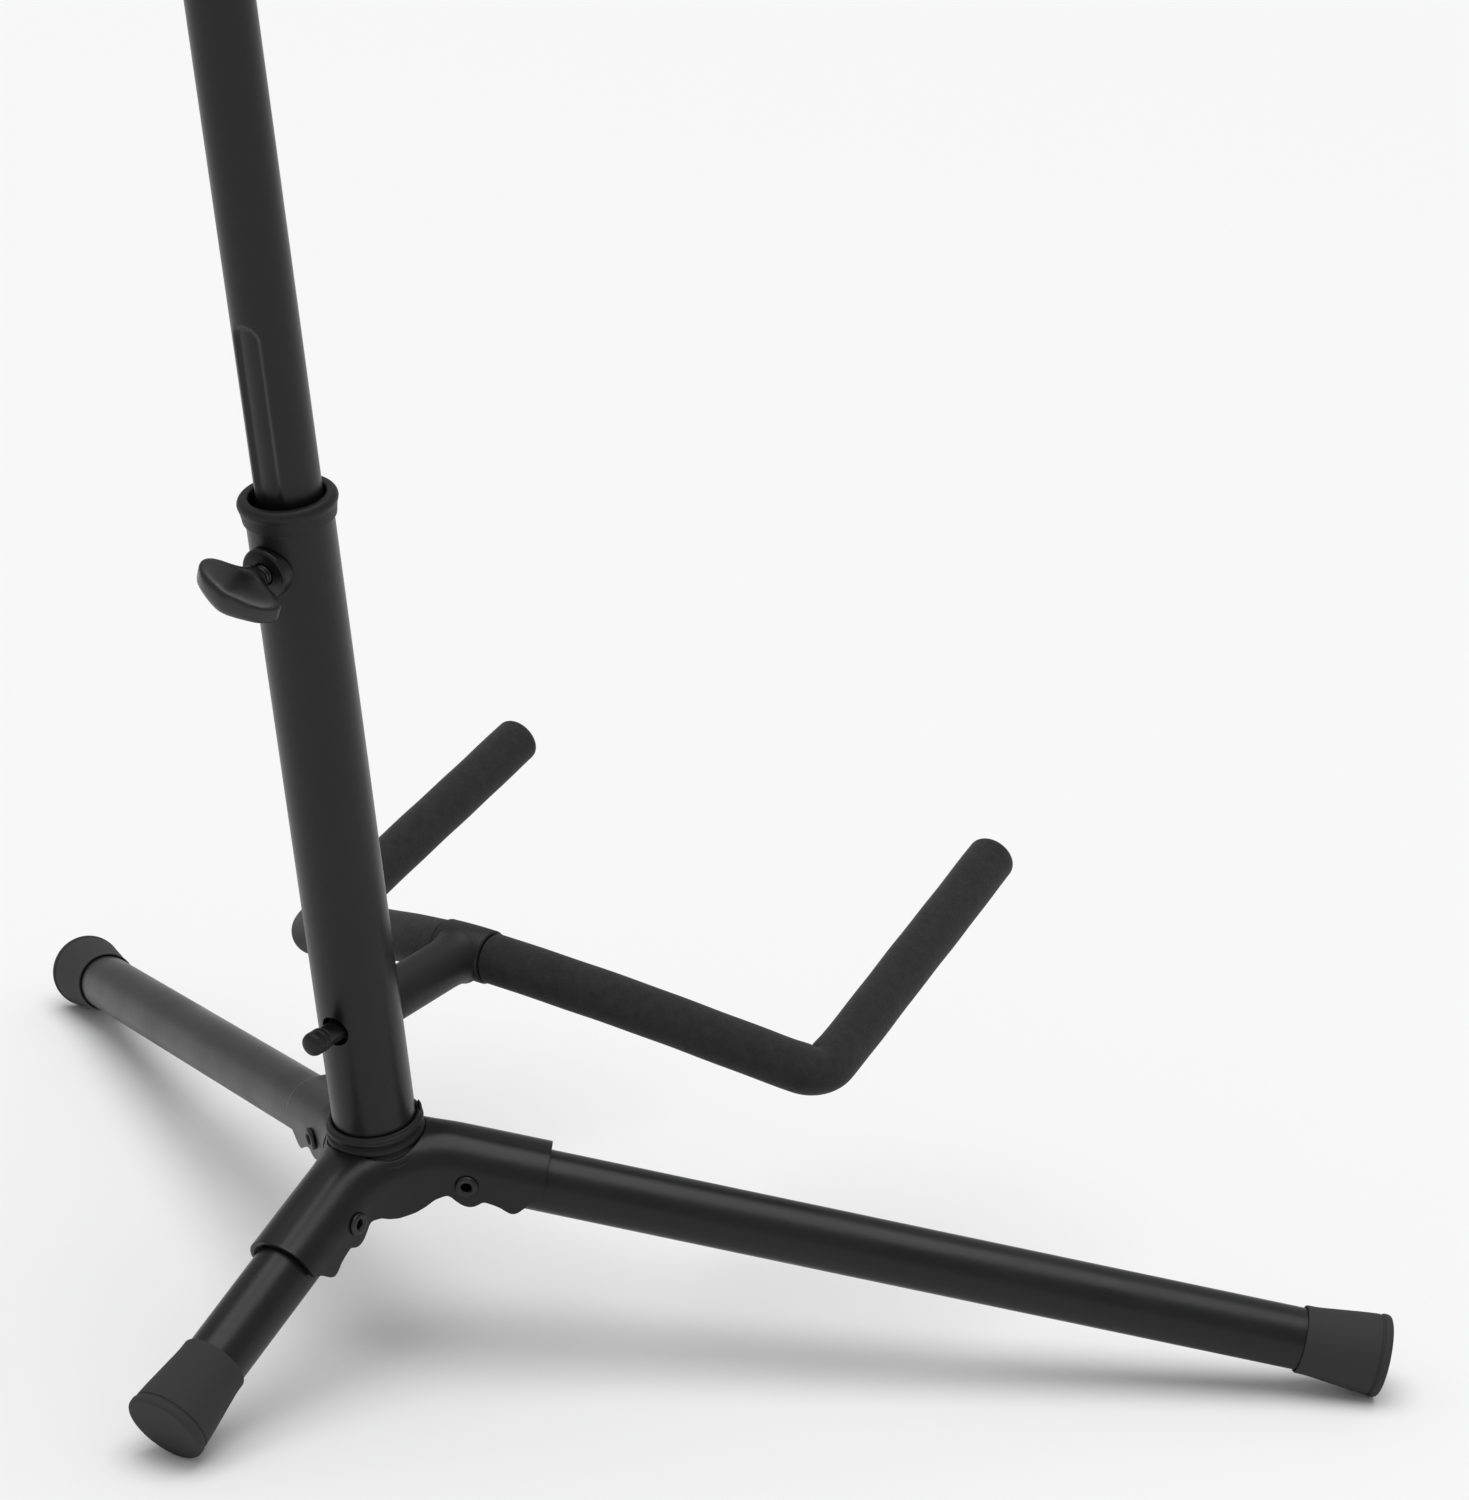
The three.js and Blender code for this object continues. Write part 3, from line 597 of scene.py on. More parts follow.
def open_grid_faces(rows, columns, start=0, wrap=False):
    """Faces of a grid that is left open at its ends."""
    last = columns if wrap else columns - 1
    i, j = np.meshgrid(np.arange(rows - 1), np.arange(last), indexing="ij")
    a = i * columns + j
    b = i * columns + (j + 1) % columns
    quads = np.stack([a, b, b + columns, a + columns], axis=-1).reshape(-1, 4) + start
    return quads.tolist()


def hub_skin():
    """The hub's outer skin: three notches, and the seat that they leave round the mast."""
    half, seated = half_notch()
    mirrored = half[:, ::-1] * np.array([1, -1, 1])
    third = 2 * math.pi / 3
    vertices, faces, start, rims = [], [], 0, []
    for arm in range(3):
        heading = math.pi / 2 + arm * third
        notch = np.concatenate(
            [about_z(half, heading), about_z(mirrored, heading + third)[:, 1:]], axis=1)
        rim = np.concatenate([seated, seated[::-1][1:]])
        rims.append(notch[-1][rim][:-1])
        vertices.append(notch.reshape(-1, 3))
        faces += open_grid_faces(notch.shape[0], notch.shape[1], start)
        start += notch.shape[0] * notch.shape[1]
    rim = np.concatenate(rims)
    drop = np.linspace(0, 1, 6)[:, None]
    wall = np.stack([
        rim * [1, 1, 0] + [0, 0, 1] * ((1 - k) * rim[:, 2:] + k * SEAT_FLOOR) for k in drop])
    shrink = np.array([0.97, 0.6, SEAT_HOLE / SEAT_RADIUS])
    floor = wall[-1][None] * np.stack([shrink, shrink, 0 * shrink + 1], axis=1)[:, None]
    cup = np.concatenate([wall, floor])
    vertices.append(cup.reshape(-1, 3))
    faces += open_grid_faces(cup.shape[0], cup.shape[1], start, wrap=True)
    return np.concatenate(vertices), faces


def pivot_tool(place, columns):
    """A round tool that cuts the hole for a leg's rivet."""
    line = np.array([[PIVOT_HOLE, -20.0], [PIVOT_HOLE, 20.0]])
    grid = turned(line, columns, "y") + [PIVOT, 0, 0]
    return make_object("tool", [grid_mesh(grid)], place)


def merge_and_face_up(obj):
    """Joins vertices that coincide, and turns an open skin so that its roof faces up."""
    work = bmesh.new()
    work.from_mesh(obj.data)
    bmesh.ops.remove_doubles(work, verts=work.verts, dist=2e-6)
    bmesh.ops.recalc_face_normals(work, faces=work.faces)
    roof = max(work.faces, key=lambda face: face.calc_center_median().z)
    if roof.normal.z < 0:
        bmesh.ops.reverse_faces(work, faces=work.faces)
    work.to_mesh(obj.data)
    work.free()


class STAND_OT_hub(bpy.types.Operator):
    """Build the pressed hub that the legs fold into"""

    bl_idname = "stand.hub"
    bl_label = "Hub"

    def execute(self, context):
        vertices, faces = hub_skin()
        matrix = hub_frame()
        mesh = bpy.data.meshes.new("hub")
        mesh.from_pydata(vertices @ matrix[:3, :3].T + matrix[:3, 3], [], faces)
        hub = bpy.data.objects.new("hub", mesh)
        context.scene.collection.objects.link(hub)
        merge_and_face_up(hub)
        wall = hub.modifiers.new("wall", "SOLIDIFY")
        wall.thickness, wall.offset = WALL * MM, -1
        edge = hub.modifiers.new("edge", "BEVEL")
        edge.width, edge.segments = 0.32 * MM, 2
        edge.limit_method, edge.angle_limit = "ANGLE", math.radians(60)
        context.view_layer.update()
        apply_modifiers(hub)
        for name in LEGS:
            combine(hub, pivot_tool(leg_frame(name), 48), "DIFFERENCE")
        finish(hub, "frame", material("hub_paint"), ["hub_body"], 34)
        return {"FINISHED"}


class STAND_OT_collar(bpy.types.Operator):
    """Build the ribbed collar round the foot of the mast"""

    bl_idname = "stand.collar"
    bl_label = "Collar"

    def execute(self, context):
        bore, valley, crest = size("lower_radius") + GAP, 13.7, 14.75
        outline = [(bore, -2.5, 0), (valley, -2.5, 0.3)]
        for ridge in (2.9, 6.1, 9.3):
            outline += [(valley, ridge - 1.45, 0.35), (crest, ridge - 0.6, 0.45)]
            outline += [(crest, ridge + 0.6, 0.45), (valley, ridge + 1.45, 0.35)]
        outline += [(valley, 11.2, 0.4), (bore, 11.2, 0.3)]
        collar = turned_piece("hub_ribbed_collar", outline, hub_frame(), closed=True, steps=3)
        tab_angle = np.radians(226 + np.linspace(-7, 7, 13))
        swell = np.sin(np.linspace(0, np.pi, 13)) ** 0.6
        levels = np.array([8.6, 10.6, 11.9, 12.6, 12.8])
        widths = np.array([1.0, 1.0, 0.95, 0.75, 0.4])
        outer = np.array([14.6, 14.6, 14.5, 14.2, 13.95])
        inner = np.array([13.1, 13.1, 13.2, 13.5, 13.8])
        spread = tab_angle.mean() + (tab_angle - tab_angle.mean()) * widths[:, None]
        bulge = 0.5 * (outer - inner)[:, None] * swell
        middle = 0.5 * (outer + inner)[:, None]
        radius = np.concatenate([middle + bulge, (middle - bulge)[:, ::-1][:, 1:-1]], axis=1)
        angle = np.concatenate([spread, spread[:, ::-1][:, 1:-1]], axis=1)
        height = levels[:, None] + 0 * angle
        tab = np.stack([radius * np.cos(angle), radius * np.sin(angle), height], axis=-1)
        combine(collar, make_object("tool", [grid_mesh(tab)], hub_frame()), "UNION")
        finish(collar, "frame", material("moulded_nylon"), ["hub_collar"])
        return {"FINISHED"}


# ---- mast -------------------------------------------------------------------------------------

MAST_OFFSET = 1.0
LOWER_BORE = 11.3
LOWER_TOP = 212.7
UPPER_BORE = 7.4
UPPER_FOOT, UPPER_TOP = 135.0, 430.0
GROOVE_FOOT, GROOVE_TOP = 150.0, 271.0
GROOVE_HALF = 4.9


def grooved_tube(radius, bore, foot, top):
    """The upper tube, with a groove pressed into its rear.

    The groove's depth depends on the distance from a line up the tube's back: it is full near
    the line, and eases to nothing over the groove's soft shoulder.
    """
    fine_top = np.arange(GROOVE_TOP - 12, GROOVE_TOP + 3, 0.6)
    fine_foot = np.arange(GROOVE_FOOT - 3, GROOVE_FOOT + 10, 1.2)
    plain = np.concatenate([[foot + 0.4, foot + 1], np.linspace(foot + 4, top - 1, 30), [top - 0.4]])
    height = np.unique(np.concatenate([fine_top, fine_foot, plain]))
    angle = np.linspace(0, 2 * np.pi, 144, endpoint=False)
    sideways = radius * (np.mod(angle - np.pi / 2 + np.pi, 2 * np.pi) - np.pi)
    past = np.clip(height - (GROOVE_TOP - GROOVE_HALF), 0, None)
    short = np.clip((GROOVE_FOOT + GROOVE_HALF) - height, 0, None)
    distance = np.hypot(sideways, (past + short)[:, None])
    near = np.clip((GROOVE_HALF + 0.5 - distance) / 2.1, 0, 1)
    depth = size("groove_depth") * near ** 2 * (3 - 2 * near)
    outer = radius - depth
    ring = np.ones_like(angle)
    radii = np.concatenate([
        [ring * bore, ring * (bore + 0.3), ring * (radius - 0.4)], outer,
        [ring * (radius - 0.4), ring * (bore + 0.3), ring * bore],
    ])
    heights = np.concatenate([[foot + 0.3, foot, foot], height, [top, top, top - 0.3]])
    x, y = radii * np.cos(angle), radii * np.sin(angle)
    return np.stack([x, y, heights[:, None] + 0 * angle], axis=-1)


class STAND_OT_mast(bpy.types.Operator):
    """Build the mast's two tubes and the ring between them"""

    bl_idname = "stand.mast"
    bl_label = "Mast"

    def execute(self, context):
        outer = size("lower_radius")
        outline = [
            (LOWER_BORE, -2.5, 0.2), (outer, -2.5, 0.4), (outer, LOWER_TOP, 0.4),
            (LOWER_BORE, LOWER_TOP, 0.2),
        ]
        lower = turned_piece("mast_lower_tube", outline, hub_frame(), closed=True, columns=144)
        combine(lower, peg(3.6, 2.0, 30.0, cradle_frame(), "x"), "DIFFERENCE")
        combine(lower, peg(4.7, -30.0, -2.0, cradle_frame(), "x"), "DIFFERENCE")
        combine(lower, peg(3.5, 2.0, 30.0, clamp_frame(), "z"), "DIFFERENCE")
        finish(lower, "frame", material("tube_paint"), ["lower_tube"])

        bulge, mouth, foot, top = 14.3, 10.8, 209.6, 217.4
        ring = [
            (outer + GAP, foot + 0.5, 0.1), (outer + 0.8, foot + 0.5, 0.3),
            (bulge - 0.6, foot + 3.4, 1.2),
            (bulge - 0.45, top - 3.6, 0.5), (bulge, top - 2.6, 0.7), (bulge, top - 1.4, 0.7),
            (bulge - 1.0, top, 0.9), (mouth + 0.2, top, 0.9),
            (mouth, top - 1.6, 0.7), (mouth, LOWER_TOP + GAP, 0.1),
            (outer + GAP, LOWER_TOP + GAP, 0.1),
        ]
        end_ring = turned_piece("mast_end_ring", ring, hub_frame(), closed=True)
        finish(end_ring, "frame", material("moulded_nylon"),
               ["lower_tube_end_ring"])

        grid = grooved_tube(size("upper_radius"), UPPER_BORE, UPPER_FOOT, UPPER_TOP)
        upper = make_object("mast_upper_tube", [grid_mesh(grid, wrap_rows=True)], mast_frame())
        finish(upper, "upper_mast", material("tube_paint"), ["upper_tube"])
        return {"FINISHED"}


# ---- clamp ------------------------------------------------------------------------------------

SCREW_RADIUS = 3.0
SCREW_TIP, SCREW_END = 7.5, 26.5
BOSS_FACE = 14.7
BOSS_FLANK = 7.5
KNOB_TURN = math.radians(-21.4)


def on_mast(x, radius):
    """Distance from the mast's axis to a cylinder of that radius, seen from the side."""
    return np.sqrt(np.clip(radius ** 2 - x ** 2, 0, None))


def saddled_boss():
    """A round boss: bore, saddle face that fits the tube, flank, then a filleted outer face."""
    angle = np.linspace(0, 2 * np.pi, 72, endpoint=False)
    bore, flank = SCREW_RADIUS + GAP, BOSS_FLANK
    radii = np.array([bore, bore, (bore + flank) / 2, flank - 0.2])
    fits = size("lower_radius") + GAP
    saddle = on_mast(radii[1:, None] * np.cos(angle), fits)
    top = rounded([
        (flank, 10.0), (flank, BOSS_FACE, 1.1), (bore, BOSS_FACE, 0.4), (bore, BOSS_FACE - 0.6),
    ])
    low_flank = np.stack([0 * angle + flank, on_mast(flank * np.cos(angle), fits) + 0.25], axis=-1)
    rows = [np.stack([0 * angle + r, s], axis=-1) for r, s in zip(radii[1:], saddle)]
    rows.append(low_flank)
    rows += [np.stack([0 * angle + r, 0 * angle + z], axis=-1) for r, z in top[1:]]
    table = np.stack(rows)
    radius, height = table[..., 0], table[..., 1]
    return np.stack([radius * np.cos(angle), radius * np.sin(angle), height], axis=-1)


def threaded_rod():
    """A screw whose radius rises and falls once in each pitch, shifted by one pitch a turn."""
    pitch, depth = 1.0, 0.36
    height = np.arange(SCREW_TIP, SCREW_END, 0.125)
    angle = np.linspace(0, 2 * np.pi, 40, endpoint=False)
    phase = np.mod(height[:, None] / pitch - angle / (2 * np.pi), 1)
    wave = np.abs(2 * phase - 1)
    lead = np.clip((height - SCREW_TIP) / 1.4, 0, 1)[:, None]
    radius = (SCREW_RADIUS - 0.9) + 0.9 * lead - depth * (1 - wave) * lead
    x, y = radius * np.cos(angle), radius * np.sin(angle)
    return np.stack([x, y, height[:, None] + 0 * angle], axis=-1)


def wing_knob():
    """The knob, as sections across the screw's axis from its neck to its rounded outer edge.

    Each section is a superellipse: its half width follows the wing's outline, and its half
    thickness is that of the wing, swollen in the middle by the moulded hub.
    """
    level = np.array([17.6, 17.75, 18.2, 19.3, 20.4, 21.3, 22.1, 23.0, 24.2, 25.6, 27.2, 28.8, 30.3,
                      31.6, 32.6, 33.3, 33.75, 34.0])
    half = np.array([3.9, 4.4, 4.7, 4.9, 5.9, 8.6, 11.3, 12.9, 13.7, 13.8, 13.2, 12.0, 10.3, 8.3,
                     6.1, 4.0, 2.1, 0.5])
    thick = np.array([3.9, 4.4, 4.6, 4.6, 4.5, 4.3, 4.2, 4.15, 4.1, 4.1, 4.1, 4.1, 4.05, 3.95,
                      3.75, 3.3, 2.4, 0.6])
    fine = np.concatenate([level[:1], np.linspace(level[0], level[-1], 61)[1:-1], level[-1:]])
    kernel = np.array([1, 2, 3, 2, 1]) / 9

    def eased(values):
        values = np.interp(fine, level, values)
        middle = np.convolve(values, kernel, "valid")
        return np.concatenate([values[:2], middle, values[-2:]])[:, None]

    width, depth = eased(half), eased(thick)
    angle = np.linspace(0, 2 * np.pi, 96, endpoint=False)
    c, s = np.cos(angle), np.sin(angle)
    winged = np.clip((width - 5.0) / 6.0, 0, 1)
    x = width * np.sign(c) * np.abs(c) ** (1 - 0.25 * winged)
    thin = 1 - 0.14 * winged * (1 - np.exp(-(x / 5.2) ** 2))
    y = depth * thin * np.sign(s) * np.abs(s) ** (1 - 0.68 * winged)
    return np.stack([x, y, fine[:, None] + 0 * angle], axis=-1)


class STAND_OT_clamp(bpy.types.Operator):
    """Build the clamp that holds the upper tube: boss, screw and winged knob"""

    bl_idname = "stand.clamp"
    bl_label = "Clamp"

    def execute(self, context):
        place = clamp_frame()
        boss = make_object("clamp_boss_ring", [grid_mesh(saddled_boss(), wrap_rows=True)], place)
        finish(boss, "frame", material("tube_paint"), ["clamp_boss"])
        screw = make_object("clamp_thread", [grid_mesh(threaded_rod())], place)
        finish(screw, "clamp_screw", material("blackened_steel"),
               ["clamp_screw"], 60)
        knob = make_object("clamp_wing_knob", [grid_mesh(about_z(wing_knob(), KNOB_TURN))], place)
        combine(knob, peg(SCREW_RADIUS + GAP, 10.0, 27.0, place, "z"), "DIFFERENCE")
        finish(knob, "clamp_knob", material("knob_plastic"), ["clamp_knob"], 50)
        return {"FINISHED"}


# ---- legs -------------------------------------------------------------------------------------

KNUCKLE_END = 36.0
CAP_LENGTH = 26.0
CAP_WALL = 3.5
CAP_END = 12.7


def leg_length(name):
    """From the hub's centre to the end of the foot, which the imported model's box gives."""
    if name != "rear":
        return size("front_leg")
    matrix = leg_frame(name)
    low, high = (np.array(corner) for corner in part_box("rear_foot_cap"))
    out, square = matrix[:3, 0] / MM, matrix[:3, 2] / MM
    reach = high[1] - matrix[1, 3]
    return (reach / MM - CAP_END * abs(square[1])) / out[1]


class STAND_OT_legs(bpy.types.Operator):
    """Build the three folding legs with their pivots and foot caps"""

    bl_idname = "stand.legs"
    bl_label = "Legs"

    def execute(self, context):
        for name in LEGS:
            self.leg(name, leg_frame(name), leg_length(name))
        return {"FINISHED"}

    def leg(self, name, place, reach):
        radius, body = size("leg_radius"), name + "_leg"
        inner = radius - 1.5
        wall = [
            (inner, KNUCKLE_END + GAP, 0.2), (radius, KNUCKLE_END + GAP, 0.3),
            (radius, reach - CAP_WALL, 0.3), (inner, reach - CAP_WALL, 0.2),
        ]
        tube = turned_piece(f"{name}_leg_painted_tube", wall, place, "x", closed=True)
        finish(tube, body, material("tube_paint"), [f"{name}_leg_tube"])
        self.knuckle(name, place, radius, inner)
        self.foot(name, place, radius, reach)
        self.rivet(name, place)

    def knuckle(self, name, place, radius, inner):
        swing = np.linspace(0.03, np.pi / 2, 18)
        dome = np.stack([radius * np.sin(swing), PIVOT - radius * np.cos(swing)], axis=1)
        spigot = inner - GAP
        end = KNUCKLE_END + 14
        plug = rounded([
            (radius, KNUCKLE_END - 4), (radius, KNUCKLE_END, 0.4), (spigot, KNUCKLE_END, 0.2),
            (spigot, end, 0.8), (0.2, end),
        ])
        grid = turned(np.concatenate([dome, plug]), 72, "x")
        knuckle = make_object(f"{name}_leg_pivot_knuckle", [grid_mesh(grid)], place)
        combine(knuckle, pivot_tool(place, 40), "DIFFERENCE")
        nodes = [f"{name}_leg_knuckle"]
        finish(knuckle, f"{name}_leg", material("moulded_nylon"), nodes)

    def foot(self, name, place, radius, reach):
        bore, mouth, bottom = radius + GAP, reach - CAP_LENGTH, reach - CAP_WALL + GAP
        outline = [
            (0.2, bottom), (bore, bottom, 0.4), (bore, mouth, 0.25), (10.4, mouth, 0.45),
            (10.45, mouth + 3.2, 0.8), (10.6, mouth + 5.0, 1.5), (12.2, reach - 6.5, 3.0),
            (12.35, reach - 3.6, 0.5), (12.05, reach - 3.2, 0.25), (12.05, reach - 2.8, 0.25),
            (CAP_END, reach - 2.4, 0.35), (CAP_END, reach, 1.3), (0.2, reach),
        ]
        profile = supported(rounded(outline))
        vertices, faces = grid_mesh(turned(profile, ROUND, "x"))
        faces = facing_out(vertices, faces)
        cap = make_object(f"{name}_foot_rubber", [(vertices, faces)], place)
        self.wear_flat(cap)
        finish(cap, f"{name}_leg", material("foot_rubber"), [f"{name}_foot_cap"])

    def wear_flat(self, cap):
        """Nothing of a foot reaches below the surface that it stands on."""
        points = np.empty(len(cap.data.vertices) * 3)
        cap.data.vertices.foreach_get("co", points)
        points = points.reshape(-1, 3)
        points[:, 2] = np.maximum(points[:, 2], 0.0)
        cap.data.vertices.foreach_set("co", points.ravel())
        cap.data.update()

    def rivet(self, name, place):
        wall = CHANNEL_HALF + GAP
        face, head, shank, bore = wall + 0.9, 3.6, 2.5, 1.5
        outline = [
            (bore, -face + 0.5, 0.3), (bore + 0.5, -face, 0.3), (head - 0.5, -face, 0.4),
            (head, -wall - 0.25, 0.2), (head, -wall, 0.08), (shank, -wall, 0.08), (shank, wall, 0.08),
            (head, wall, 0.08), (head, wall + 0.25, 0.2), (head - 0.5, face, 0.4),
            (bore + 0.5, face, 0.3), (bore, face - 0.5, 0.3),
        ]
        profile = supported(rounded(outline, True, 4), True)
        grid = turned(profile, 56, "y") + [PIVOT, 0, 0]
        rivet = make_object(f"{name}_leg_hollow_rivet", [grid_mesh(grid, wrap_rows=True)], place)
        finish(rivet, "frame", material("blackened_steel"), [f"{name}_leg_rivet"])


# ---- padded bars ------------------------------------------------------------------------------

STEM_TILT = math.radians(6.84)
BEND_RADIUS = 11.0
ROD_BORE = 5.6
SLEEVE_TIP = 4.0
BORE_ROWS = 30
CROSSBAR_POINTS = 60
BEND_POINTS = 22
REST_HEIGHT = 422.0

CRADLE_BAR = {
    "reach": 52.8, "half_span": 98.3, "forward": 45.7, "drop": 36.4, "start_slope": 0.22,
    "start_blend": 8.0, "arm": (110.6, -4.9, 30.3),
}
REST_BAR = {
    "reach": 22.0, "half_span": 47.0, "forward": 16.0, "drop": 0.0, "start_slope": 0.02,
    "start_blend": 8.0, "arm": (74.0, 3.0, 13.0),
}


def bar_point(bar, across):
    """The bar's middle line between its bends. It leaves the tee on a soft knee and then curls
    forward and down as the square of the distance from the middle."""
    depth = math.hypot(bar["forward"], bar["drop"])
    blend = bar["start_blend"]

    def knee(y):
        return bar["start_slope"] * (np.hypot(y, blend) - blend)

    curl = (depth - knee(bar["half_span"])) / bar["half_span"] ** 2
    share = (knee(across) + curl * across ** 2) / depth
    return np.stack([bar["reach"] + share * bar["forward"], across, -share * bar["drop"]], axis=-1)


def bar_line(bar, side):
    """Half of the bar's middle line: the crossbar, a round bend and the straight arm. It gives
    the points, their distances from the middle, the bend's place, and its inward direction."""
    corner = bar_point(bar, np.array(bar["half_span"]))
    before = bar_point(bar, np.array(bar["half_span"] - 1.0))
    inward, arm = unit(corner - before), np.array(bar["arm"])
    outward = unit(arm)
    turn = math.acos(inward @ outward)
    setback = BEND_RADIUS * math.tan(turn / 2)
    crossbar = bar_point(bar, np.linspace(0, bar["half_span"] - setback * inward[1], CROSSBAR_POINTS))
    normal = unit(outward - inward * (outward @ inward))
    angle = np.linspace(0, turn, BEND_POINTS)[:, None]
    round_bend = np.sin(angle) * inward + (1 - np.cos(angle)) * normal
    bend = corner - inward * setback + BEND_RADIUS * round_bend
    share = np.linspace(0, 1, 40)[1:, None]
    straight = bend[-1] + share * (corner + arm - bend[-1])
    points = np.concatenate([crossbar[:-1], bend, straight]) * [1, side, 1]
    distance = np.concatenate([[0], np.cumsum(np.linalg.norm(np.diff(points, axis=0), axis=1))])
    middle = CROSSBAR_POINTS - 1 + BEND_POINTS // 2
    pull = unit(outward - inward) * [1, side, 1]
    return points, distance, distance[middle], pull


def swept_rows(points, distance, stations, radii, columns=72, shape=None):
    """Circles of the given radii at stations along a line, square to it. shape may change the
    radius with the station and the direction out from the line."""
    tangent = np.gradient(points, distance, axis=0)

    def at(values):
        return np.stack([np.interp(stations, distance, column) for column in values.T], axis=-1)

    centre, along = at(points), at(tangent)
    along /= np.linalg.norm(along, axis=1, keepdims=True)
    past = (stations - distance[-1]).clip(0)
    centre = centre + past[:, None] * along
    side = np.cross(along, [0, 0, 1.0])
    side /= np.linalg.norm(side, axis=1, keepdims=True)
    over = np.cross(side, along)
    angle = np.linspace(0, 2 * np.pi, columns, endpoint=False)
    out = np.cos(angle)[:, None] * side[:, None] + np.sin(angle)[:, None] * over[:, None]
    radius = np.broadcast_to(np.asarray(radii)[:, None], (len(stations), columns))
    if shape is not None:
        radius = radius * shape(stations[:, None], out)
    return centre[:, None] + radius[..., None] * out, centre


def squared_off(grid, centre, stations, start, reach=12.0):
    """The rows near the tee are leant so that the sleeve's first ring is square to the tee."""
    ease = np.clip(1 - (stations - start) / reach, 0, 1)[:, None]
    grid[..., 1] += ease * (centre[:, None, 1] - grid[..., 1])
    return grid


def sleeve(bar, side, start):
    """A foam sleeve: bore from its blind end to the tee, then the outside from the tee to the
    rounded tip. At the bend the foam is pinched on the inside and bulges on both sides of the
    pinch, and its skin is a little uneven all along."""
    radius = size("sleeve_radius")
    points, distance, bend_at, pull = bar_line(bar, side)
    first = np.interp(start, np.abs(points[:, 1])[:CROSSBAR_POINTS], distance[:CROSSBAR_POINTS])
    end = distance[-1]
    blind = end - SLEEVE_TIP + GAP
    bore = np.linspace(blind, first, BORE_ROWS)
    skin = np.unique(np.concatenate([
        first + np.array([0.5, 1.0, 2.0, 4.0]), np.linspace(first + 6, end - 4, 110),
        np.linspace(bend_at - 16, bend_at + 16, 70),
    ]))
    tip = np.linspace(0, np.pi / 2, 9)
    soft = 2.3
    stations = np.concatenate([bore, [first], skin, end - soft + soft * np.sin(tip), [end, end - 0.15]])
    radii = np.concatenate([
        np.full(BORE_ROWS, ROD_BORE), [radius - 0.5], np.full(len(skin), radius),
        radius - soft + soft * np.cos(tip), [radius * 0.45, radius * 0.12],
    ])
    outer = stations * 0 + 1
    outer[:BORE_ROWS] = 0

    def shape(station, out):
        facing = np.clip(out @ pull, 0, 1)
        away = station - bend_at
        pinch = 0.15 * np.exp(-(away / 2.3) ** 2) * facing ** 2
        both_sides = np.exp(-((away - 6.5) / 3.6) ** 2) + np.exp(-((away + 6.5) / 3.6) ** 2)
        bulge = 0.055 * both_sides * facing
        stretch = 0.035 * np.exp(-(away / 9.0) ** 2) * np.clip(-(out @ pull), 0, 1)
        slow = 0.006 * np.sin(station / 9.0 + 2.4 * out[..., 2])
        quick = 0.005 * np.sin(station / 3.7 + 3.0 * out[..., 0])
        return 1 + outer[:, None] * (bulge - pinch - stretch + (slow + quick))

    grid, centre = swept_rows(points, distance, stations, radii, shape=shape)
    return squared_off(grid, centre, stations, first)


def tee_bar(bar, half, radius):
    """The tee's own bar, which follows the rod's line and ends square."""
    across = np.linspace(-30, 30, 121)
    points = bar_point(bar, np.abs(across))
    points[:, 1] = across
    distance = np.concatenate([[0], np.cumsum(np.linalg.norm(np.diff(points, axis=0), axis=1))])
    middle = distance[60]
    inner = np.linspace(half - 0.01, -half + 0.01, 20)
    face = 0.7
    swing = np.linspace(0, np.pi / 2, 6)
    left = [(-half, ROD_BORE + 0.3), (-half, radius - face)]
    left += [(-half + face * (1 - math.cos(a)), radius - face + face * math.sin(a)) for a in swing[1:]]
    right = [(-s, r) for s, r in reversed(left)]
    flat = [(s, radius) for s in np.linspace(-half + 1.5, half - 1.5, 12)]
    rows = [(s, ROD_BORE) for s in inner] + left + flat + right
    stations = middle + np.array([row[0] for row in rows])
    grid, centre = swept_rows(points, distance, stations, [row[1] for row in rows], columns=80)
    grid[..., 1] = (stations - middle)[:, None]
    return grid


def stem(reach, radius, start_radius, bore, bore_end, flare):
    """The tee's stem: the pin's bore, the saddle that fits the mast, the flank, and a flare that
    runs out into the bar."""
    angle = np.linspace(0, 2 * np.pi, 80, endpoint=False)
    c, s = np.cos(angle), np.sin(angle)
    lean = math.tan(STEM_TILT)

    def saddle(r):
        return on_mast(r * c, start_radius) - lean * r * s

    rows = [(0.3, 0 * c + bore_end), (bore, 0 * c + bore_end), (bore, 0 * c + 24.0)]
    rows += [(r, saddle(r)) for r in (bore, (bore + radius) / 2, radius - 0.8, radius - 0.35)]
    rows += [(radius - 0.08, saddle(radius) + 0.3), (radius, saddle(radius) + 0.8)]
    body = np.linspace(17.0, reach - 14.0, 12)
    rows += [(radius, 0 * c + x) for x in body]
    swell = np.linspace(0, 1, 10)[1:]
    for k in swell:
        spread = flare * (1 - math.sqrt(1 - k * k * 0.96))
        rows.append((radius + spread, 0 * c + reach - 13.0 + 8.0 * k))
    rows += [(radius - 1.5, 0 * c + reach - 3.0)]
    radius_rows = np.array([r for r, _ in rows])[:, None]
    x = np.stack([row[1] for row in rows])
    return np.stack([x, radius_rows * c, radius_rows * s], axis=-1)


def pads(bar, names, nodes, place, start, body):
    """The two foam sleeves of a bar."""
    for name, node, side in zip(names, nodes, (-1, 1)):
        grid = sleeve(bar, side, start)
        pad = make_object(name, [grid_mesh(grid)], place)
        finish(pad, body, material("closed_cell_foam"), [node], 50)


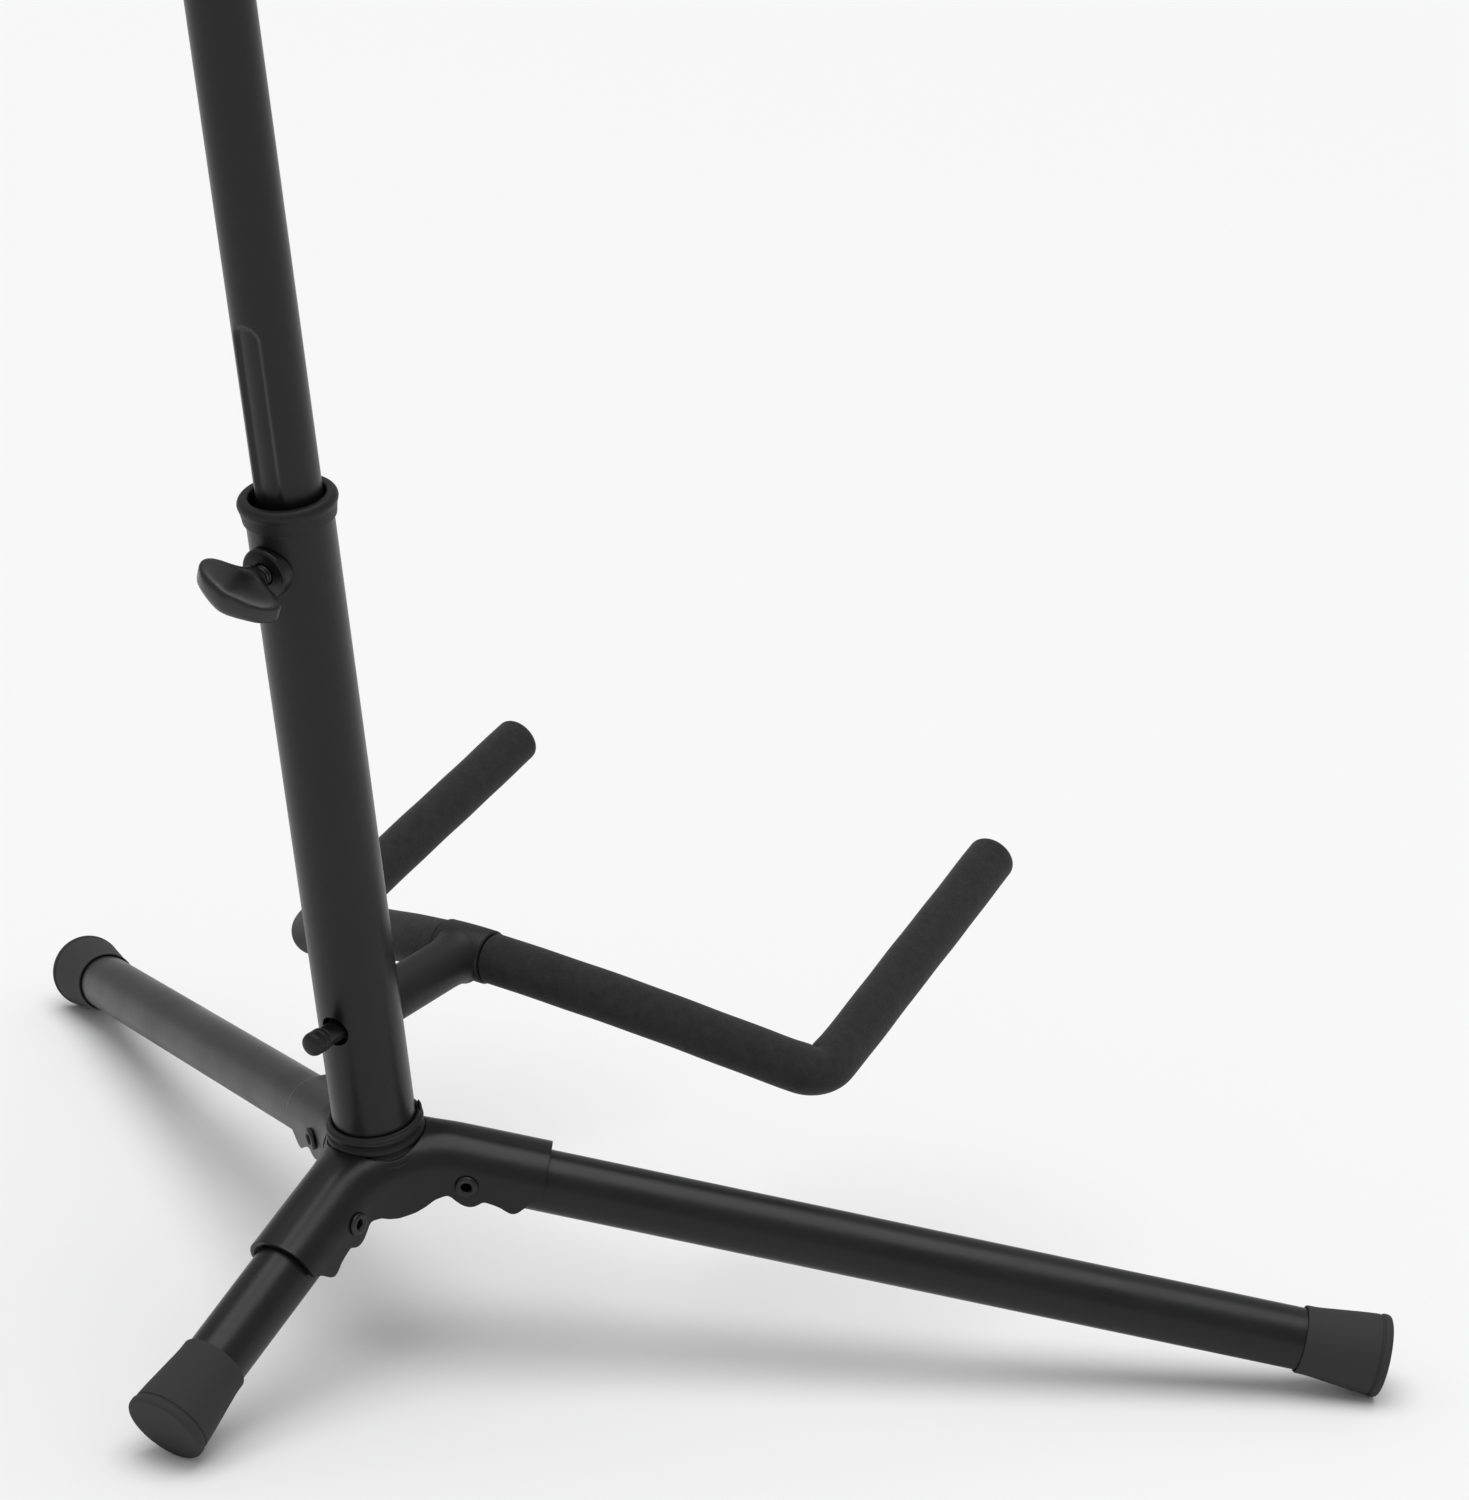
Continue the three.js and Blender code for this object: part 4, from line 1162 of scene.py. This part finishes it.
class STAND_OT_cradle(bpy.types.Operator):
    """Build the padded cradle, its tee and its spring-loaded pin"""

    bl_idname = "stand.cradle"
    bl_label = "Cradle"

    def execute(self, context):
        place = cradle_frame()
        half, radius = 8.7, 8.3
        bar = grid_mesh(tee_bar(CRADLE_BAR, half, radius), wrap_rows=True)
        tee = make_object("cradle_moulded_tee", [bar], place)
        arm = stem(CRADLE_BAR["reach"], 7.65, size("lower_radius") + GAP, 3.5, 40.3, 1.6)
        combine(tee, make_object("tool", [grid_mesh(arm)], place), "UNION")
        finish(tee, "cradle", material("moulded_nylon"), ["cradle_tee"])
        pads(CRADLE_BAR, ("cradle_foam_left", "cradle_foam_right"),
             ("cradle_sleeve_left", "cradle_sleeve_right"), place, half + GAP, "cradle")
        self.pin(place)
        return {"FINISHED"}

    def pin(self, place):
        shaft = [
            (0.2, -21.4), (1.8, -21.4, 0.3), (1.8, -17.9, 0.1), (3.2, -17.9, 0.5), (3.2, -8.0, 0.1),
            (6.4, -8.0, 0.3), (6.4, -6.8, 0.3), (3.2, -6.8, 0.1), (3.2, 40.0, 0.6), (0.2, 40.0),
        ]
        pin = turned_piece("cradle_plunger", shaft, place, "x", columns=64)
        finish(pin, "cradle_pin", material("blackened_steel"), ["cradle_pin"])
        cap = [
            (0.1, -24.4), (2.3, -24.25, 1.4), (3.6, -23.0, 1.0), (3.6, -20.7, 0.25),
            (3.25, -20.2, 0.3), (3.6, -19.7, 0.25), (3.6, -18.2, 0.4), (2.1, -18.2, 0.2),
            (2.1, -21.7, 0.2), (0.1, -21.7),
        ]
        end = turned_piece("cradle_plunger_cap", cap, place, "x", columns=64)
        finish(end, "cradle_pin", material("moulded_nylon"), ["cradle_pin_cap"])


class STAND_OT_rest(bpy.types.Operator):
    """Build the padded rest and its moulded head on top of the mast"""

    bl_idname = "stand.rest"
    bl_label = "Rest"

    def execute(self, context):
        place = rest_frame()
        socket_foot, tube_end, half, radius = -16.0, 8.0, 12.0, 8.3
        bore = size("upper_radius") + GAP
        outline = [
            (0.2, tube_end + GAP), (bore, tube_end + GAP, 0.5), (bore, socket_foot, 0.4),
            (12.2, socket_foot, 0.9), (12.2, tube_end + 3.5, 2.6), (6.0, tube_end + 6.0, 3.0),
            (0.2, tube_end + 6.0),
        ]
        head = turned_piece("rest_moulded_head", outline, place)
        neck = turned_piece("tool", [(0.2, 10.4), (7.9, 10.4), (7.9, 20.0), (0.2, 20.0)], place, "x")
        combine(head, neck, "UNION")
        bar = make_object("tool", [grid_mesh(tee_bar(REST_BAR, half, radius), wrap_rows=True)], place)
        combine(head, bar, "UNION")
        finish(head, "upper_mast", material("moulded_nylon"), ["rest_head"])
        pads(REST_BAR, ("rest_foam_left", "rest_foam_right"),
             ("rest_sleeve_left", "rest_sleeve_right"), place, half + GAP, "upper_mast")
        return {"FINISHED"}


class STAND_OT_inner_parts(bpy.types.Operator):
    """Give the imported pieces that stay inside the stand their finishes"""

    bl_idname = "stand.inner_parts"
    bl_label = "Inner parts"

    def execute(self, context):
        kept = {
            "hub_bolt": "blackened_steel", "hub_washer": "blackened_steel",
            "cradle_spring": "blackened_steel", "mast_foot_plug": "moulded_nylon",
            "upper_tube_foot_plug": "moulded_nylon", "cradle_rod": "tube_paint",
            "rest_rod": "tube_paint",
        }
        for name, finish_name in kept.items():
            mesh = frame["nodes"][name].data
            mesh.materials.clear()
            mesh.materials.append(material(finish_name))
        return {"FINISHED"}


# ---- stage ------------------------------------------------------------------------------------


# The camera's place and its two directions, in the hub's frame.
CAMERA_SPOT = np.array([-792.05, 897.11, 770.38])
CAMERA_BACK = np.array([-0.51412, 0.71253, 0.47748])
CAMERA_UP = np.array([0.20329, -0.4396, 0.87489])
LENS, SENSOR = 113.13, 36

FLOOR_HALF = 30.0
FLOOR_DROP = 0.0002  # keeps the floor just clear of the feet
SKY_STRENGTH = 0.48
KEY_ENERGY = 1.8
KEY_SPREAD = math.radians(56)
KEY_TOWARDS = (-0.05, 0.08, 1.2)


def floor_material():
    """A pale, matt studio floor with hardly any pattern."""
    made = Finish("studio_floor", colours().floor, 0.85)
    made.tint(made.noise(0.8, 2.0), 0.995, 1.005)
    made.shader.inputs["Specular IOR Level"].default_value = 0.1
    return made.material


class STAND_OT_stage(bpy.types.Operator):
    """Set the floor, the studio light and the camera"""

    bl_idname = "stand.stage"
    bl_label = "Stage"

    def execute(self, context):
        self.floor(context)
        self.light(context)
        self.camera(context)
        return {"FINISHED"}

    def floor(self, context):
        signs = ((-1, -1), (1, -1), (1, 1), (-1, 1))
        corners = [(x * FLOOR_HALF, y * FLOOR_HALF, -FLOOR_DROP) for x, y in signs]
        mesh = bpy.data.meshes.new("studio_floor")
        mesh.from_pydata(corners, [], [(0, 1, 2, 3)])
        mesh.materials.append(floor_material())
        floor = bpy.data.objects.new("studio_floor", mesh)
        context.scene.collection.objects.link(floor)

    def light(self, context):
        world = bpy.data.worlds.new("studio")
        world.use_nodes = True
        sky = world.node_tree.nodes["Background"]
        sky.inputs["Color"].default_value = (1.0, 1.0, 1.0, 1)
        sky.inputs["Strength"].default_value = SKY_STRENGTH
        context.scene.world = world
        key = bpy.data.lights.new("key", "SUN")
        key.energy, key.angle = KEY_ENERGY, KEY_SPREAD
        lamp = bpy.data.objects.new("key", key)
        lamp.rotation_euler = Vector(KEY_TOWARDS).to_track_quat("Z", "Y").to_euler()
        context.scene.collection.objects.link(lamp)

    def camera(self, context):
        """The camera stands behind the stand, to one side and a little above the rest."""
        place = hub_frame()
        turn = place[:3, :3] / MM
        back = unit(turn @ CAMERA_BACK)
        right = unit(np.cross(turn @ CAMERA_UP, back))
        spot = place[:3, :3] @ CAMERA_SPOT + place[:3, 3]
        lens = bpy.data.cameras.new("camera")
        lens.sensor_fit, lens.lens = "VERTICAL", LENS
        lens.sensor_width = lens.sensor_height = SENSOR
        lens.clip_end = 100
        camera = bpy.data.objects.new("camera", lens)
        turned_to = Matrix((right, np.cross(back, right), back)).transposed().to_4x4()
        camera.matrix_world = Matrix.Translation(spot) @ turned_to
        context.scene.collection.objects.link(camera)
        context.scene.camera = camera


# ---- add-on -----------------------------------------------------------------------------------

BUILDERS = (
    STAND_OT_stage, STAND_OT_hub, STAND_OT_collar, STAND_OT_mast, STAND_OT_clamp, STAND_OT_legs,
    STAND_OT_cradle, STAND_OT_rest, STAND_OT_inner_parts,
)


class STAND_PT_panel(bpy.types.Panel):
    """The stand's sizes, colours and builders."""

    bl_idname = "STAND_PT_panel"
    bl_label = "Instrument stand"
    bl_space_type = "VIEW_3D"
    bl_region_type = "UI"
    bl_category = "Stand"

    def draw(self, context):
        for group in (context.scene.stand_sizes, context.scene.stand_finish):
            box = self.layout.box()
            for name in group.__annotations__:
                box.prop(group, name)
        for builder in BUILDERS:
            self.layout.operator(builder.bl_idname)


CLASSES = (StandSizes, StandFinish) + BUILDERS + (STAND_PT_panel,)


def register():
    for cls in CLASSES:
        bpy.utils.register_class(cls)
    bpy.types.Scene.stand_sizes = bpy.props.PointerProperty(type=StandSizes)
    bpy.types.Scene.stand_finish = bpy.props.PointerProperty(type=StandFinish)


def unregister():
    del bpy.types.Scene.stand_finish
    del bpy.types.Scene.stand_sizes
    for cls in reversed(CLASSES):
        bpy.utils.unregister_class(cls)


def main():
    """Builds everything in order."""
    register()
    bpy.context.scene.view_settings.view_transform = "Standard"
    for builder in BUILDERS:
        group, name = builder.bl_idname.split(".")
        getattr(getattr(bpy.ops, group), name)()


if __name__ == "__main__":
    main()
